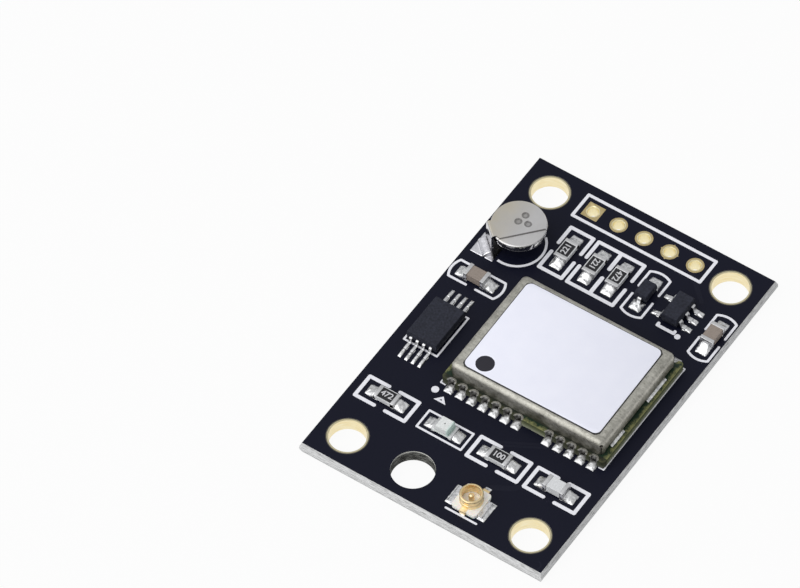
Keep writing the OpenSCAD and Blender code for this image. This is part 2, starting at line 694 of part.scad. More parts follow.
// White outlines, dots and a triangle printed on the mask
module legend() color("#eeeef4") {
    chip_end = chip_l / 2 + chip_land_out + ink_room;
    chip_side = chip_land_w / 2 + ink_room;
    ends = [0, 180];
    // Square outlines of the resistors and the inductor
    for (part = concat(resistor_places, [[inductor_at, 0]]), s = ends)
        printed() translate(part[0]) rotate(part[1] + s) square_half(chip_end, chip_side, ink_wide);
    // Bowed outlines of the capacitors and the diode
    for (part = capacitor_places, s = ends)
        printed() translate(part[0]) rotate(part[1] + s)
            bowed_half(chip_end + ink_thin / 2, chip_side - ink_thin / 2, ink_thin);
    for (s = ends)
        printed() translate(diode_at) rotate(90 + s)
            bowed_half(diode_l / 2 + diode_reach + diode_land_out + ink_room + ink_thin / 2,
                diode_land_w / 2 + ink_room - ink_thin / 2, ink_thin);
    // Frame of the status light
    light_end = chip_l / 2 + light_land_out + ink_room;
    light_side = chip_land_w / 2 + ink_room;
    printed() translate(light_at) ink_frame(light_end, light_side, light_ink);
    // Frame of the header row
    printed() translate([header_x, back - header_in])
        ink_frame(header_count * header_pitch / 2, header_pitch / 2, ink_wide - ink_room / 7);
    // Outline of the memory body, under its leads
    memory_room = ink_thin / 2 + lead_t / 4;
    printed() translate(memory_at)
        ink_frame(memory_w / 2 + memory_room, memory_l / 2 + memory_room, ink_thin * 0.8);
    // Bar ahead of the regulator, with its dot
    bar_x = regulator_w / 2;
    bar_y = regulator_l / 2 + ink_room + ink_thin / 2;
    bar_w = ink_wide * 0.9;
    printed() translate(regulator_at) {
        polygon(stroke([-bar_x, -bar_y], [bar_x, -bar_y], bar_w));
        for (s = [-1, 1]) polygon(stroke([s * bar_x, -bar_y], [s * bar_x, ink_thin - bar_y], bar_w));
    }
    printed() translate(regulator_at + [bar_x + ink_wide + ink_thin / 2, -bar_y - ink_thin / 2])
        circle(r = ink_wide * 0.8);
    // End brackets of the receiver, its index dot and its triangle
    bracket_x = receiver_w / 2 + ink_thin * 0.1;
    bracket_y = receiver_l / 2 + ink_thin * 0.1;
    bracket_foot = bracket_x - 2 * ink_thin;
    bracket_w = ink_thin * 0.6;
    for (s = ends) printed() translate(receiver_at) rotate(s) {
        polygon(stroke([bracket_x, -bracket_y], [bracket_x, bracket_y], bracket_w));
        for (t = [-1, 1])
            polygon(stroke([bracket_x, t * bracket_y], [bracket_foot, t * bracket_y], bracket_w));
    }
    land_end = -receiver_l / 2 - edge_land_out;
    printed() translate(receiver_at + [-receiver_w / 2, land_end]) circle(r = index_dot_r);
    mark_y = land_end - ink_room * 0.8 - index_mark_w / 2;
    printed() translate(receiver_at + [edge_places[0], mark_y]) index_mark();
    // Two arcs round the cell, between its lands
    printed() translate(cell_at - [0, cell_ring_shift]) {
        ring_arc(261, 407);
        ring_arc(106, 178);
    }
    // Bar ahead of the coax socket
    bar_end = socket_base_w / 2 + wing_w * 0.7;
    bar_in = socket_base_l / 2 + tongue_out + ink_thin * 0.7;
    printed() translate(socket_at)
        polygon(stroke([-bar_end, -bar_in], [bar_end, -bar_in], ink_thin * 0.85));
}

// A printed frame, given half its sizes at mid line
module ink_frame(x, y, w) difference() {
    polygon(round_rect(2 * x + w, 2 * y + w, w / 2));
    square([2 * x - w, 2 * y - w], center = true);
}

// The index triangle, hollow, with its foot on y = 0
module index_mark() difference() {
    polygon([[-index_mark_w / 2, 0], [index_mark_w / 2, 0], [0, index_mark_w * 0.55]]);
    polygon([[-index_mark_w * 0.12, index_mark_w * 0.16], [index_mark_w * 0.12, index_mark_w * 0.16],
        [0, index_mark_w * 0.3]]);
}

// A printed arc round the cell
module ring_arc(from, to) polygon(concat(
    arc([0, 0], cell_ring_r + ink_thin / 2, from, to, arc_steps),
    arc([0, 0], cell_ring_r - ink_thin / 2, to, from, arc_steps)));

// Outer form of one half-hole's plating, on the receiver's long edge at y = 0, inwards along +Y
module castellation_form() intersection() {
    union() {
        cylinder(r = edge_cut_r, h = receiver_t);
        translate([0, 0, receiver_t - plating]) cylinder(r = edge_cut_r + edge_ring, h = plating);
    }
    translate([-receiver_w / 2, 0, 0]) cube([receiver_w, receiver_l / 2, receiver_t]);
}

// Puts a form at each half-hole of both long edges, inwards along its own +Y
module at_half_holes() at(receiver_at) for (s = [0, 180]) rotate(s) for (x = edge_places)
    translate([s == 0 ? x : -x, -receiver_l / 2, 0]) children();

// The receiver's green laminate, with a row of half-holes on each long edge
module receiver_board() color("#5c6b2e") difference() {
    at(receiver_at) linear_extrude(receiver_t)
        polygon(round_rect(receiver_w, receiver_l, receiver_corner));
    at_half_holes() castellation_form();
}

module receiver_castellations() color("#8d8a80") at_half_holes() difference() {
    castellation_form();
    translate([0, 0, -cut]) cylinder(r = edge_hole_r, h = receiver_t + 2 * cut);
}

// Solder on the carrier's lands, up the half-holes
module receiver_solder() color("#c9c9cc") at_half_holes() {
    translate([-edge_land_w / 2, -edge_land_out, -land_t])
        cube([edge_land_w, edge_land_out + edge_land_under, land_t]);
    rotate(-90) across(edge_land_w) polygon(fillet_section(edge_land_out * 0.75, edge_solder_h));
    intersection() {
        cylinder(r = edge_hole_r, h = edge_solder_h + edge_ring);
        translate([-edge_hole_r, 0, 0]) cube([2 * edge_hole_r, edge_hole_r, edge_solder_h + edge_ring]);
    }
}

// Puts a form at the middle of the receiver, on its board's top face
module on_receiver() translate([receiver_at[0], receiver_at[1], receiver_top]) children();

// A five-sided cover with folded edges
module cover(w, l, h, fold, corner) intersection() {
    across(l + cut) polygon(cover_section(w, h, fold));
    rotate(90) across(w + cut) polygon(cover_section(l, h, fold));
    linear_extrude(h) polygon(round_rect(w, l, corner));
}

// Folded sheet over the receiver, with relief holes and seams at its corners and lifted end walls
module shield_can() color("#a9a696") on_receiver() difference() {
    inner_w = can_w - 2 * can_sheet;
    inner_l = can_l - 2 * can_sheet;
    cover(can_w, can_l, can_h, can_fold, can_corner);
    translate([0, 0, -can_sheet])
        cover(inner_w, inner_l, can_h, can_fold - can_sheet, can_corner - can_sheet);
    hole_z = can_h - can_fold;
    for (sx = [-1, 1], sy = [-1, 1])
        translate([sx * (can_w / 2 - can_corner), sy * (can_l / 2 - can_corner), 0])
            rotate(atan2(sy, sx)) {
                translate([0, 0, hole_z]) rotate([0, 90, 0]) cylinder(r = can_hole_r, h = can_corner + cut);
                translate([0, -can_seam / 2, -cut]) cube([can_corner + cut, can_seam, hole_z + cut]);
            }
    for (s = [-1, 1]) translate([s * (can_w / 2 - can_sheet / 2), 0, -cut]) difference() {
        block(2 * can_sheet, can_l - 2 * can_corner, can_lift + cut);
        for (foot = can_foot_places)
            translate([0, foot[0], -cut]) block(3 * can_sheet, foot[1], can_lift + 3 * cut);
    }
}

// Solder beads along the feet of the can's end walls
module shield_can_solder() color("#dcdcda") on_receiver()
    for (s = [0, 180]) for (foot = can_foot_places)
        translate([(s == 0 ? 1 : -1) * can_w / 2, foot[0], 0]) rotate(s)
            across(foot[1]) polygon(fillet_section(bead, bead));

// Paper label on the can's flat top
module receiver_label() color("#e4e6f3") on_receiver() translate([0, 0, can_h]) rotate(label_turn)
    linear_extrude(label_t) polygon(round_rect(can_w - 2 * label_in_x, can_l - 2 * label_in_y, label_r));

// Chip and passives on the receiver's board, under the can
module receiver_chip() color("#26262a") on_receiver()
    block(core_side, core_side, core_h);

module reference_oscillator() color("#c6c3b4") on_receiver()
    translate([wall_x - oscillator_l / 2, oscillator_w, 0])
        block(oscillator_l, oscillator_w, oscillator_h);

module clock_crystal() color("#b9b7ad") on_receiver()
    translate([crystal_l / 2 - wall_x, crystal_w, 0])
        block(crystal_l, crystal_w, crystal_h);

module band_filter() color("#d2cfc2") on_receiver()
    translate([wall_x - filter_l / 2, -filter_w * 1.5, 0])
        block(filter_l, filter_w, filter_h);

module receiver_passives() color("#8c7b66") on_receiver()
    for (x = row(passive_count, passive_l + passive_w / 2))
        translate([x, core_side / 2 + passive_w * 1.5, 0]) block(passive_l, passive_w, passive_w);

// Sealed cell: a wide can over a narrower cap
module backup_cell() color("#9c9c9b") translate([cell_at[0], cell_at[1], cell_base])
    rotate_extrude() polygon(concat(
        [[0, 0], [cell_cap_r, 0], [cell_cap_r, cell_cap_h]],
        arc([cell_r - cell_edge_r, cell_cap_h + cell_edge_r], cell_edge_r, -90, 0, corner_steps),
        arc([cell_r - cell_edge_r, cell_cap_h + cell_can_h - cell_edge_r], cell_edge_r, 0, 90, corner_steps),
        [[0, cell_cap_h + cell_can_h]]));

// Side view of a tab's leg: out along the cell's face, down, and out again as a foot on the land
function leg_path(reach, height, foot) =
    let (r = tab_t) concat(
        [[0, height, 0]],
        [for (i = [0 : corner_steps]) let (a = 90 * i / corner_steps)
            [reach - tab_t / 2 - r + r * sin(a), height - r + r * cos(a), -a]],
        [for (i = [0 : corner_steps]) let (a = 90 * (1 - i / corner_steps))
            [reach - tab_t / 2 + r - r * sin(a), tab_t / 2 + r - r * cos(a), -a]],
        [[reach + foot, tab_t / 2, 0]]);

// Leg of the top tab, with its foot on the land
module top_tab_leg() {
    leg = leg_path(top_tab_reach, cell_top - land_top + tab_t / 2, top_tab_foot);
    across(tab_w) polygon(strip_outline(leg, tab_t));
}

// Sheet welded to the cell's top, cut straight on one side, with its leg bent down to the board
module cell_top_tab() color("#a9a9a8") at(cell_at, top_tab_turn) {
    height = cell_top - land_top;
    difference() {
        union() {
            translate([0, 0, height]) linear_extrude(tab_t) intersection() {
                circle(r = cell_r - top_tab_in);
                translate([-cell_r, -cell_r]) square([2 * cell_r, cell_r + top_tab_edge]);
            }
            top_tab_leg();
        }
        for (a = [0, 120, 240])
            translate([weld_spread * (cos(a) - 0.9), weld_spread * (sin(a) - 0.28), height + tab_t - weld_deep])
                cylinder(r = weld_r, h = weld_deep + cut);
    }
}

// Strip under the cell's cap, with its leg bent down behind the cell
module cell_bottom_tab() color("#8f8f8f") at(cell_at, bottom_tab_turn)
    across(tab_w * 0.7)
        polygon(strip_outline(leg_path(bottom_tab_reach, cell_base - tab_t / 2 - land_top, tab_t), tab_t));

// Lands of the two tabs, with solder over the top tab's foot
module cell_solder() color("#c9c9cc") at(cell_at) {
    translate([top_land_at[0], top_land_at[1], -land_t]) block(top_land_w, top_land_l, land_t);
    rotate(top_tab_turn) difference() {
        translate([top_tab_reach, 0, 0])
            across(tab_w + tab_t) polygon(mound_section(foot_solder_run, foot_solder_rise));
        top_tab_leg();
    }
    translate([bottom_land_at[0], bottom_land_at[1], -land_t]) block(bottom_land_w, bottom_land_l, land_t);
}

// The coax shell: a ring with a snap groove, a strip inside the base that ends in the wings, and the tongue
module shell_form() difference() {
    span = socket_base_w + 2 * wing_w;
    rim = socket_base_h + ring_h;
    lip = ring_h * 0.3;
    neck = ring_h * 0.3;
    waist_r = ring_r - ring_groove;
    union() {
        rotate_extrude() polygon([
            [0, shell_z], [ring_r, shell_z], [ring_r, rim - lip - neck - ring_groove],
            [waist_r, rim - lip - neck], [waist_r, rim - lip - ring_groove],
            [ring_r, rim - lip], [ring_r, rim - ring_groove], [waist_r, rim], [0, rim]]);
        translate([0, -wing_shift, shell_z]) block(span, wing_l, shell_sheet);
        for (s = [-1, 1]) translate([s * (span - wing_w) / 2, -wing_shift, 0]) block(wing_w, wing_l, wing_h);
        translate([-tail_w / 2, -socket_base_l / 2 - tongue_out, 0]) {
            translate([0, 0, socket_base_h - shell_sheet])
                cube([tail_w, socket_base_l / 2 + tongue_out, shell_sheet]);
            cube([tail_w, tongue_out, socket_base_h]);
        }
    }
    translate([0, 0, -cut]) cylinder(r = ring_bore_r, h = rim + 2 * cut);
}

// Centre pin with its tail, which runs out under the base
module pin_form() {
    tip = pin_r * 0.8;
    pin_top = socket_base_h + pin_h;
    rotate_extrude() polygon(concat(
        [[0, 0], [pin_r, 0]],
        arc([pin_r - tip, pin_top - tip], tip, 0, 90, corner_steps),
        [[0, pin_top]]));
    translate([tail_shift - tail_w / 2, 0, 0]) cube([tail_w, socket_base_l / 2 + tail_out, shell_sheet]);
    translate([0, -pin_r, 0]) cube([tail_shift, 2 * pin_r, shell_sheet]);
}

// Moulded base round the shell's sheet and the pin
module coax_socket_base() color("#ddd8c8") at(socket_at) difference() {
    linear_extrude(socket_base_h) polygon(round_rect(socket_base_w, socket_base_l, tail_w / 2));
    shell_form();
    pin_form();
}

module coax_socket_shell() color("#d0aa66") at(socket_at) shell_form();

module coax_socket_pin() color("#d8b878") at(socket_at) pin_form();

// Lands and solder of the wings, the tongue and the tail
module coax_socket_solder() color("#cfcfd2") at(socket_at) {
    wing_at = socket_base_w / 2;
    land_l = wing_l + 2 * wing_land_end;
    for (s = [-1, 1]) translate([s * wing_at, -wing_shift, 0]) rotate(90 - 90 * s) {
        translate([0, -land_l / 2, -land_t]) cube([wing_w + wing_land_out, land_l, land_t]);
        translate([wing_w, 0, 0]) across(wing_l) polygon(fillet_section(wing_land_out * 0.9, wing_h * 0.8));
    }
    tail_end = socket_base_l / 2 + tail_out;
    translate([tail_shift, tail_end, 0]) {
        translate([-tail_w / 2, -2 * tail_out, -land_t]) cube([tail_w, 2 * tail_out + tail_land_out, land_t]);
        rotate(90) across(tail_w) polygon(fillet_section(tail_land_out * 0.9, shell_sheet * 0.9));
    }
    translate([-tail_w / 2, -socket_base_l / 2 - tongue_out - land_t, -land_t])
        cube([tail_w, 2 * tongue_out + land_t, land_t]);
}

// Memory chip: four leads at each end
module memory_body() color("#2b2b31") at(memory_at) translate([0, 0, stand_off])
    moulded(memory_w, memory_l, memory_h);

module at_memory_ends() at(memory_at) for (s = [90, 270]) rotate(s)
    translate([memory_l / 2, 0, 0]) children();

module memory_leads() color("#c4c4c6") at_memory_ends()
    lead_row(memory_reach, memory_lead_w, stand_off + memory_h / 2, row(memory_leads_n, memory_pitch));

module memory_solder() color("#c9c9cc") at_memory_ends()
    lead_solder_row(memory_reach, memory_land_out, memory_lead_w + lead_t, row(memory_leads_n, memory_pitch));

// Voltage regulator: two leads on the left, three on the right
regulator_rows = [[180, [-regulator_pitch, regulator_pitch]], [0, [-regulator_pitch, 0, regulator_pitch]]];

module regulator_body() color("#28282c") at(regulator_at) translate([0, 0, stand_off])
    moulded(regulator_w, regulator_l, regulator_h);

module regulator_leads() color("#c4c4c6") at(regulator_at) for (side = regulator_rows) rotate(side[0])
    translate([regulator_w / 2, 0, 0])
        lead_row(regulator_reach, regulator_lead_w, stand_off + regulator_h / 2, side[1]);

module regulator_solder() color("#c9c9cc") at(regulator_at) for (side = regulator_rows) rotate(side[0])
    translate([regulator_w / 2, 0, 0])
        lead_solder_row(regulator_reach, regulator_land_out, regulator_lead_w + lead_t, side[1]);

// Diode: one lead at each end
module diode_body() color("#26272a") at(diode_at) translate([0, 0, stand_off])
    moulded(diode_w, diode_l, diode_h);

module at_diode_ends() at(diode_at) for (s = [90, 270]) rotate(s) translate([diode_l / 2, 0, 0]) children();

module diode_leads() color("#c4c4c6") at_diode_ends()
    lead_row(diode_reach, diode_lead_w, stand_off + diode_h / 2, [0]);

module diode_solder() color("#c9c9cc") at_diode_ends()
    lead_solder_row(diode_reach, diode_land_out, diode_land_w, [0]);

// Status light: a small base with wrapped ends, and a clear lens moulded over the die
module light_base() color("#e3e6df") at(light_at) translate([0, 0, cap_t])
    block(chip_l - 2 * cap_t, chip_w, light_base_h - 2 * cap_t);

module light_terminals() color("#cfcfcd") at(light_at) difference() {
    for (s = [-1, 1]) translate([s * (chip_l - cap_band) / 2, 0, 0]) block(cap_band, chip_w, light_base_h);
    translate([0, 0, cap_t]) block(chip_l - 2 * cap_t, chip_w + cut, light_base_h - 2 * cap_t);
}

module die_form() translate([0, 0, light_base_h - cap_t]) block(die_side, die_side, die_h);

module light_lens() color("#eef3ee") at(light_at) difference() {
    x = lens_l / 2;
    y = chip_w / 2;
    z = lens_h + cap_t;
    in = draft * lens_h;
    translate([0, 0, light_base_h - cap_t]) intersection() {
        across(chip_w + cut) polygon([[-x, 0], [x, 0], [x - in, z], [in - x, z]]);
        rotate(90) across(lens_l + cut) polygon([[-y, 0], [y, 0], [y - in / 2, z], [in / 2 - y, z]]);
    }
    die_form();
}

module light_die() color("#d9d27a") at(light_at) die_form();

module light_solder() color("#c9c9cc") at(light_at)
    end_solder(chip_l, chip_w, light_base_h * 0.9, light_land_out);

// Antenna feed inductor, pale ceramic with wrapped ends
module inductor_body() color("#d0d2d4") at(inductor_at) chip_block(inductor_h, cap_t);

module inductor_end_caps() color("#b9bbbd") at(inductor_at) chip_caps(inductor_h, cap_t);

module inductor_solder() color("#c9c9cc") at(inductor_at)
    end_solder(chip_l, chip_w, inductor_h * solder_climb, chip_land_out);

// Ceramic capacitors
module input_capacitor() color("#94897f") at(input_cap_at) chip_block(capacitor_h, cap_t);

module output_capacitor() color("#94897f") at(output_cap_at, 90) chip_block(capacitor_h, cap_t);

module capacitor_end_caps() color("#c2c2c0") for (part = capacitor_places) at(part[0], part[1])
    chip_caps(capacitor_h, cap_t);

module capacitor_solder() color("#c9c9cc") for (part = capacitor_places) at(part[0], part[1])
    end_solder(chip_l, chip_w, capacitor_h * solder_climb, chip_land_out);

// Resistors: a white ceramic block, end caps, and a dark coat between them
module resistor_block(part) color("#cfcfcc") at(part[0], part[1]) chip_block(resistor_h, 0);

module serial_resistor_a() resistor_block(resistor_places[0]);

module serial_resistor_b() resistor_block(resistor_places[1]);

module pull_up_resistor_back() resistor_block(resistor_places[2]);

module pull_up_resistor_front() resistor_block(resistor_places[3]);

module antenna_feed_resistor() resistor_block(resistor_places[4]);

module resistor_end_caps() color("#c9c9c9") for (part = resistor_places) at(part[0], part[1])
    chip_caps(resistor_h, 0);

module resistor_coats() color("#1f1f21") for (part = resistor_places) at(part[0], part[1])
    translate([0, 0, resistor_h - cap_t]) block(chip_l - 2 * cap_band, chip_w - 2 * coat_rim, cap_t);

module resistor_solder() color("#c9c9cc") for (part = resistor_places) at(part[0], part[1])
    end_solder(chip_l, chip_w, resistor_h * solder_climb, chip_land_out);

circuit_board();
mounting_hole_sleeves();
header_pads();
legend();
receiver_board();
receiver_castellations();
receiver_solder();
shield_can();
shield_can_solder();
receiver_label();
receiver_chip();
reference_oscillator();
clock_crystal();
band_filter();
receiver_passives();
backup_cell();
cell_top_tab();
cell_bottom_tab();
cell_solder();
coax_socket_base();
coax_socket_shell();
coax_socket_pin();
coax_socket_solder();
memory_body();
memory_leads();
memory_solder();
regulator_body();
regulator_leads();
regulator_solder();
diode_body();
diode_leads();
diode_solder();
light_base();
light_lens();
light_die();
light_terminals();
light_solder();
inductor_body();
inductor_end_caps();
inductor_solder();
input_capacitor();
output_capacitor();
capacitor_end_caps();
capacitor_solder();
serial_resistor_a();
serial_resistor_b();
pull_up_resistor_back();
pull_up_resistor_front();
antenna_feed_resistor();
resistor_end_caps();
resistor_coats();
resistor_solder();
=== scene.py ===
import json
import math

import bmesh
import bpy
from mathutils import Matrix, Vector, noise


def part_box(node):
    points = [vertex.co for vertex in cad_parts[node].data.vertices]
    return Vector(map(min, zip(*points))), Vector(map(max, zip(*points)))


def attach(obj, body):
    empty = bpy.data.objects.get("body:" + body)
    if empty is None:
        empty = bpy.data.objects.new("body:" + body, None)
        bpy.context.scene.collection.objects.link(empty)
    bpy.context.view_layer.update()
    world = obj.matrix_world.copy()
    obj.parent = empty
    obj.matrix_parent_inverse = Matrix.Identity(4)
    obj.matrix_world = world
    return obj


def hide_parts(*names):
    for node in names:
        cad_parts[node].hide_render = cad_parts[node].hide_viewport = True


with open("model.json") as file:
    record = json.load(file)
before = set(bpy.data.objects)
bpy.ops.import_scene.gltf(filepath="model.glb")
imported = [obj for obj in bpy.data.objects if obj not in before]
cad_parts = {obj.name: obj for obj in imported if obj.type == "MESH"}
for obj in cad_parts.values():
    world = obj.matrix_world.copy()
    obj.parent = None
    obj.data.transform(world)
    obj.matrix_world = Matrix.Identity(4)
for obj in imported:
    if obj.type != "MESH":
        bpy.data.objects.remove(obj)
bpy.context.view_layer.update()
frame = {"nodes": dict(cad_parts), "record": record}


# Circuit board
# The carrier is a sheet of glass-epoxy laminate, drilled and coated with black solder mask, and broken out of
# its panel along scored lines. Tracks show faintly under the mask, and the edges show pale glass cloth.
class Tone:
    """One value of a material: sums, products and comparisons of tones add Math nodes to it."""

    def __init__(self, tree, socket):
        self.tree = tree
        self.socket = socket

    def node(self, kind, settings, sockets, output=0):
        made = self.tree.nodes.new(kind)
        for name, value in settings.items():
            if name == "stops":
                stops = made.color_ramp.elements
                while len(stops) < len(value):
                    stops.new(1.0)
                for stop, (place, colour) in zip(stops, value):
                    stop.position = place
                    stop.color = (*colour, 1.0)
            else:
                setattr(made, name, value)
        for key, value in sockets.items():
            if isinstance(value, Tone):
                self.tree.links.new(value.socket, made.inputs[key])
            else:
                made.inputs[key].default_value = value
        return Tone(self.tree, made.outputs[output]) if made.outputs else None

    def math(self, operation, first, second=0.0):
        return self.node("ShaderNodeMath", {"operation": operation}, {0: first, 1: second})

    def __add__(self, other):
        return self.math("ADD", self, other)

    def __radd__(self, other):
        return self.math("ADD", other, self)

    def __sub__(self, other):
        return self.math("SUBTRACT", self, other)

    def __rsub__(self, other):
        return self.math("SUBTRACT", other, self)

    def __mul__(self, other):
        return self.math("MULTIPLY", self, other)

    def __rmul__(self, other):
        return self.math("MULTIPLY", other, self)

    def __lt__(self, other):
        return self.math("LESS_THAN", self, other)

    def __gt__(self, other):
        return self.math("GREATER_THAN", self, other)

    def __abs__(self):
        return self.math("ABSOLUTE", self)

    def at_least(self, floor):
        return self.math("MAXIMUM", self, floor)

    def at_most(self, ceiling):
        return self.math("MINIMUM", self, ceiling)

    def across(self, other):
        """The distance that two offsets make at right angles to each other."""
        return self.math("SQRT", self * self + other * other)

    def xyz(self):
        return [self.node("ShaderNodeSeparateXYZ", {}, {0: self}, axis) for axis in range(3)]

    def upward(self):
        """How the surface faces: 1 on top, 0 on an upright wall, -1 underneath."""
        return self.node("ShaderNodeNewGeometry", {}, {}, "Normal").xyz()[2]

    def stretched(self, x, y, z):
        return self.node("ShaderNodeVectorMath", {"operation": "MULTIPLY"}, {0: self, 1: (x, y, z)})

    def noise(self, scale, detail=3.0):
        return self.node("ShaderNodeTexNoise", {}, {"Vector": self, "Scale": scale, "Detail": detail})

    def mix(self, first, second):
        ends = [end if isinstance(end, Tone) else (*end, 1.0) for end in (first, second)]
        return self.node("ShaderNodeMix", {"data_type": "RGBA"}, {0: self, 6: ends[0], 7: ends[1]}, 2)

    def ramp(self, stops):
        return self.node("ShaderNodeValToRGB", {"stops": stops}, {0: self})

    def bump(self, depth, strength=1.0):
        return self.node("ShaderNodeBump", {}, {"Height": self, "Distance": depth, "Strength": strength})

    def surface(self, sockets):
        shader = self.node("ShaderNodeBsdfPrincipled", {}, sockets)
        self.node("ShaderNodeOutputMaterial", {}, {"Surface": shader})


def begin_finish(name):
    """A new material, and the place on the piece in millimetres."""
    material = bpy.data.materials.new(name)
    material.use_nodes = True
    tree = material.node_tree
    tree.nodes.clear()
    place = Tone(tree, tree.nodes.new("ShaderNodeTexCoord").outputs["Object"])
    return material, place.stretched(1000.0, 1000.0, 1000.0)


def dress(piece, material):
    """Gives a piece its finish."""
    piece.data.materials.clear()
    piece.data.materials.append(material)


board_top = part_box("circuit_board")[1].z
mounts = {mount["name"]: mount for mount in frame["record"]["mounts"]}
# Each track has its start, its end and its width, in millimetres.
tracks = [
    ((4.9, -6.9), (1.7, -8.7), 0.22), ((5.5, -6.9), (2.2, -8.8), 0.22), ((3.6, -12.9), (5.2, -12.0), 0.5),
    ((5.2, -12.0), (6.4, -10.7), 0.5), ((-2.4, 14.9), (-2.4, 12.9), 0.3), ((5.2, 14.9), (7.9, 12.4), 0.4),
]
mask, place = begin_finish("black_mask")
x, y, z = place.xyz()
is_face = abs(place.upward()) > 0.6
shown = 0.0
for start, end, width in tracks:
    step = Vector(end) - Vector(start)
    length = step.length
    step /= length
    along = (x - start[0]) * step.x + (y - start[1]) * step.y
    aside = abs((y - start[1]) * step.x - (x - start[0]) * step.y)
    shown = shown + (aside < width / 2) * (along > 0.0) * (along < length)
grain = place.noise(7.0, 4.0)
# A nick in the mask at the front right corner, which is part of a ring.
nick_x = 11.0
nick_y = -17.25
nick_radius = 0.4
nick_line = 0.09
nick_side = 17.75
ring = (x - nick_x).across(y - nick_y)
nick = (abs(ring - nick_radius) < nick_line / 2) * (x - y * 0.4 > nick_side)
mask_colour = (grain * 0.3 + shown * 0.5 + nick).mix((0.0026, 0.0034, 0.0128), (0.009, 0.01, 0.021))
# The edges, where the web between the scored lines was broken.
web_half = 0.19
cloth = place.stretched(0.7, 0.7, 9.0).noise(1.9, 6.0)
fibre = place.stretched(2.0, 2.0, 5.0).noise(6.0, 4.0)
broken = abs(z - board_top * 500.0) < web_half
streaks = cloth * 0.7 + fibre * 0.3
edge_colour = (streaks + broken * 0.03).ramp([
    (0.34, (0.24, 0.235, 0.225)), (0.46, (0.52, 0.52, 0.52)), (0.6, (0.72, 0.72, 0.72))])
# The wall of the plain hole, painted dark as the shade down inside it, with a painted lit rim at the top.
hole_x, hole_y = [at * 1000.0 for at in mounts["plain_hole"]["pos_m"][:2]]
hole_wall = mounts["plain_hole"]["dims"]["r_mm"] + 0.12
rim_depth = 0.15
at_hole = (x - hole_x).across(y - hole_y) < hole_wall
lit_rim = (z > board_top * 1000.0 - rim_depth) * 0.8
worn = ((streaks - 0.47) * 5.0).at_least(0.0)
# The dark base is painted shade and the pale top band is painted light; the streaks are the laminate's own.
shaded_hole_colour = (worn * 0.7 + lit_rim).at_most(1.0).mix((0.014, 0.014, 0.013), (0.66, 0.66, 0.62))
cut_colour = at_hole.mix(edge_colour, shaded_hole_colour)
cut_relief = (streaks * 3.0 + broken * fibre * 2.0) * (1.0 - is_face)
is_face.surface({
    "Base Color": is_face.mix(cut_colour, mask_colour),
    "Roughness": 0.86 - is_face * 0.44 + grain * 0.08,
    "Specular IOR Level": 0.16,
    "Normal": (grain * 0.4 + shown + cut_relief).bump(0.000014, 0.5),
})
dress(frame["nodes"]["circuit_board"], mask)


# Hole sleeves and header pads
# The corner holes and the header holes are drilled, plated with copper and gilt, with a ring left bare
# on each face. The first header pad is square, and the ground pad shows the tips of its spokes.
def softened(node, width, steps=2):
    """A copy of a solid with its sharp edges eased, which stands for it."""
    bpy.ops.object.select_all(action="DESELECT")
    bpy.ops.mesh.primitive_plane_add()
    piece = bpy.context.object
    piece.name = "eased_" + node
    piece.data = frame["nodes"][node].data.copy()
    bpy.ops.object.mode_set(mode="EDIT")
    bpy.ops.mesh.select_all(action="SELECT")
    bpy.ops.mesh.remove_doubles(threshold=0.0000002)
    bpy.ops.mesh.dissolve_limited(angle_limit=0.01)
    bpy.ops.object.mode_set(mode="OBJECT")
    easing = piece.modifiers.new("easing", "BEVEL")
    easing.width = width
    easing.segments = steps
    easing.limit_method = "ANGLE"
    easing.angle_limit = math.radians(40.0)
    bpy.ops.object.modifier_apply(modifier="easing")
    bpy.ops.object.shade_smooth_by_angle(angle=math.radians(42.0))
    flatter = piece.modifiers.new("flatter", "WEIGHTED_NORMAL")
    flatter.keep_sharp = True
    bpy.ops.object.modifier_apply(modifier="flatter")
    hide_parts(node)
    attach(piece, "root")
    return piece


corner_holes = mounts["corner_holes"]["dims"]
bare_ring = corner_holes["hole_r_mm"] + 0.17
gilt, place = begin_finish("gilt_copper")
x, y = place.xyz()[:2]
from_x = abs(x) - corner_holes["spacing_x_mm"] / 2
from_y = abs(y) - corner_holes["spacing_y_mm"] / 2
is_ring = abs(place.upward()) > 0.7
wear = place.noise(2.2, 4.0)
grain = place.noise(14.0, 2.0)
covered = is_ring * (from_x.across(from_y) + wear * 0.06 > bare_ring)
drilled = place.stretched(0.6, 0.6, 6.0).noise(1.6, 4.0)
# The hole walls are painted paler than the flat rings, as painted light on the walls.
lit_wall_gold = (drilled * 2.2 - 0.6).mix((0.88, 0.72, 0.37), (0.97, 0.9, 0.66))
ring_gold = (is_ring * 0.8).mix(lit_wall_gold, (0.62, 0.56, 0.37))
grain.surface({
    "Base Color": (covered * 0.9).mix(ring_gold, (0.01, 0.01, 0.012)),
    "Metallic": 1.0 - covered,
    "Roughness": 0.26 + grain * 0.2,
    "Normal": (grain + wear).bump(0.00001, 0.5),
})
header_pitch = 2.54
lit_cup_radius = 0.7
pad_gilt, place = begin_finish("pad_gilt")
low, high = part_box("header_pads")
x, y = place.xyz()[:2]
from_middle = x - (low.x + high.x) * 500.0
beside = from_middle - place.math("ROUND", from_middle * (1.0 / header_pitch)) * header_pitch
behind = y - (low.y + high.y) * 500.0
wear = place.noise(3.2, 4.0)
grain = place.noise(14.0, 2.0)
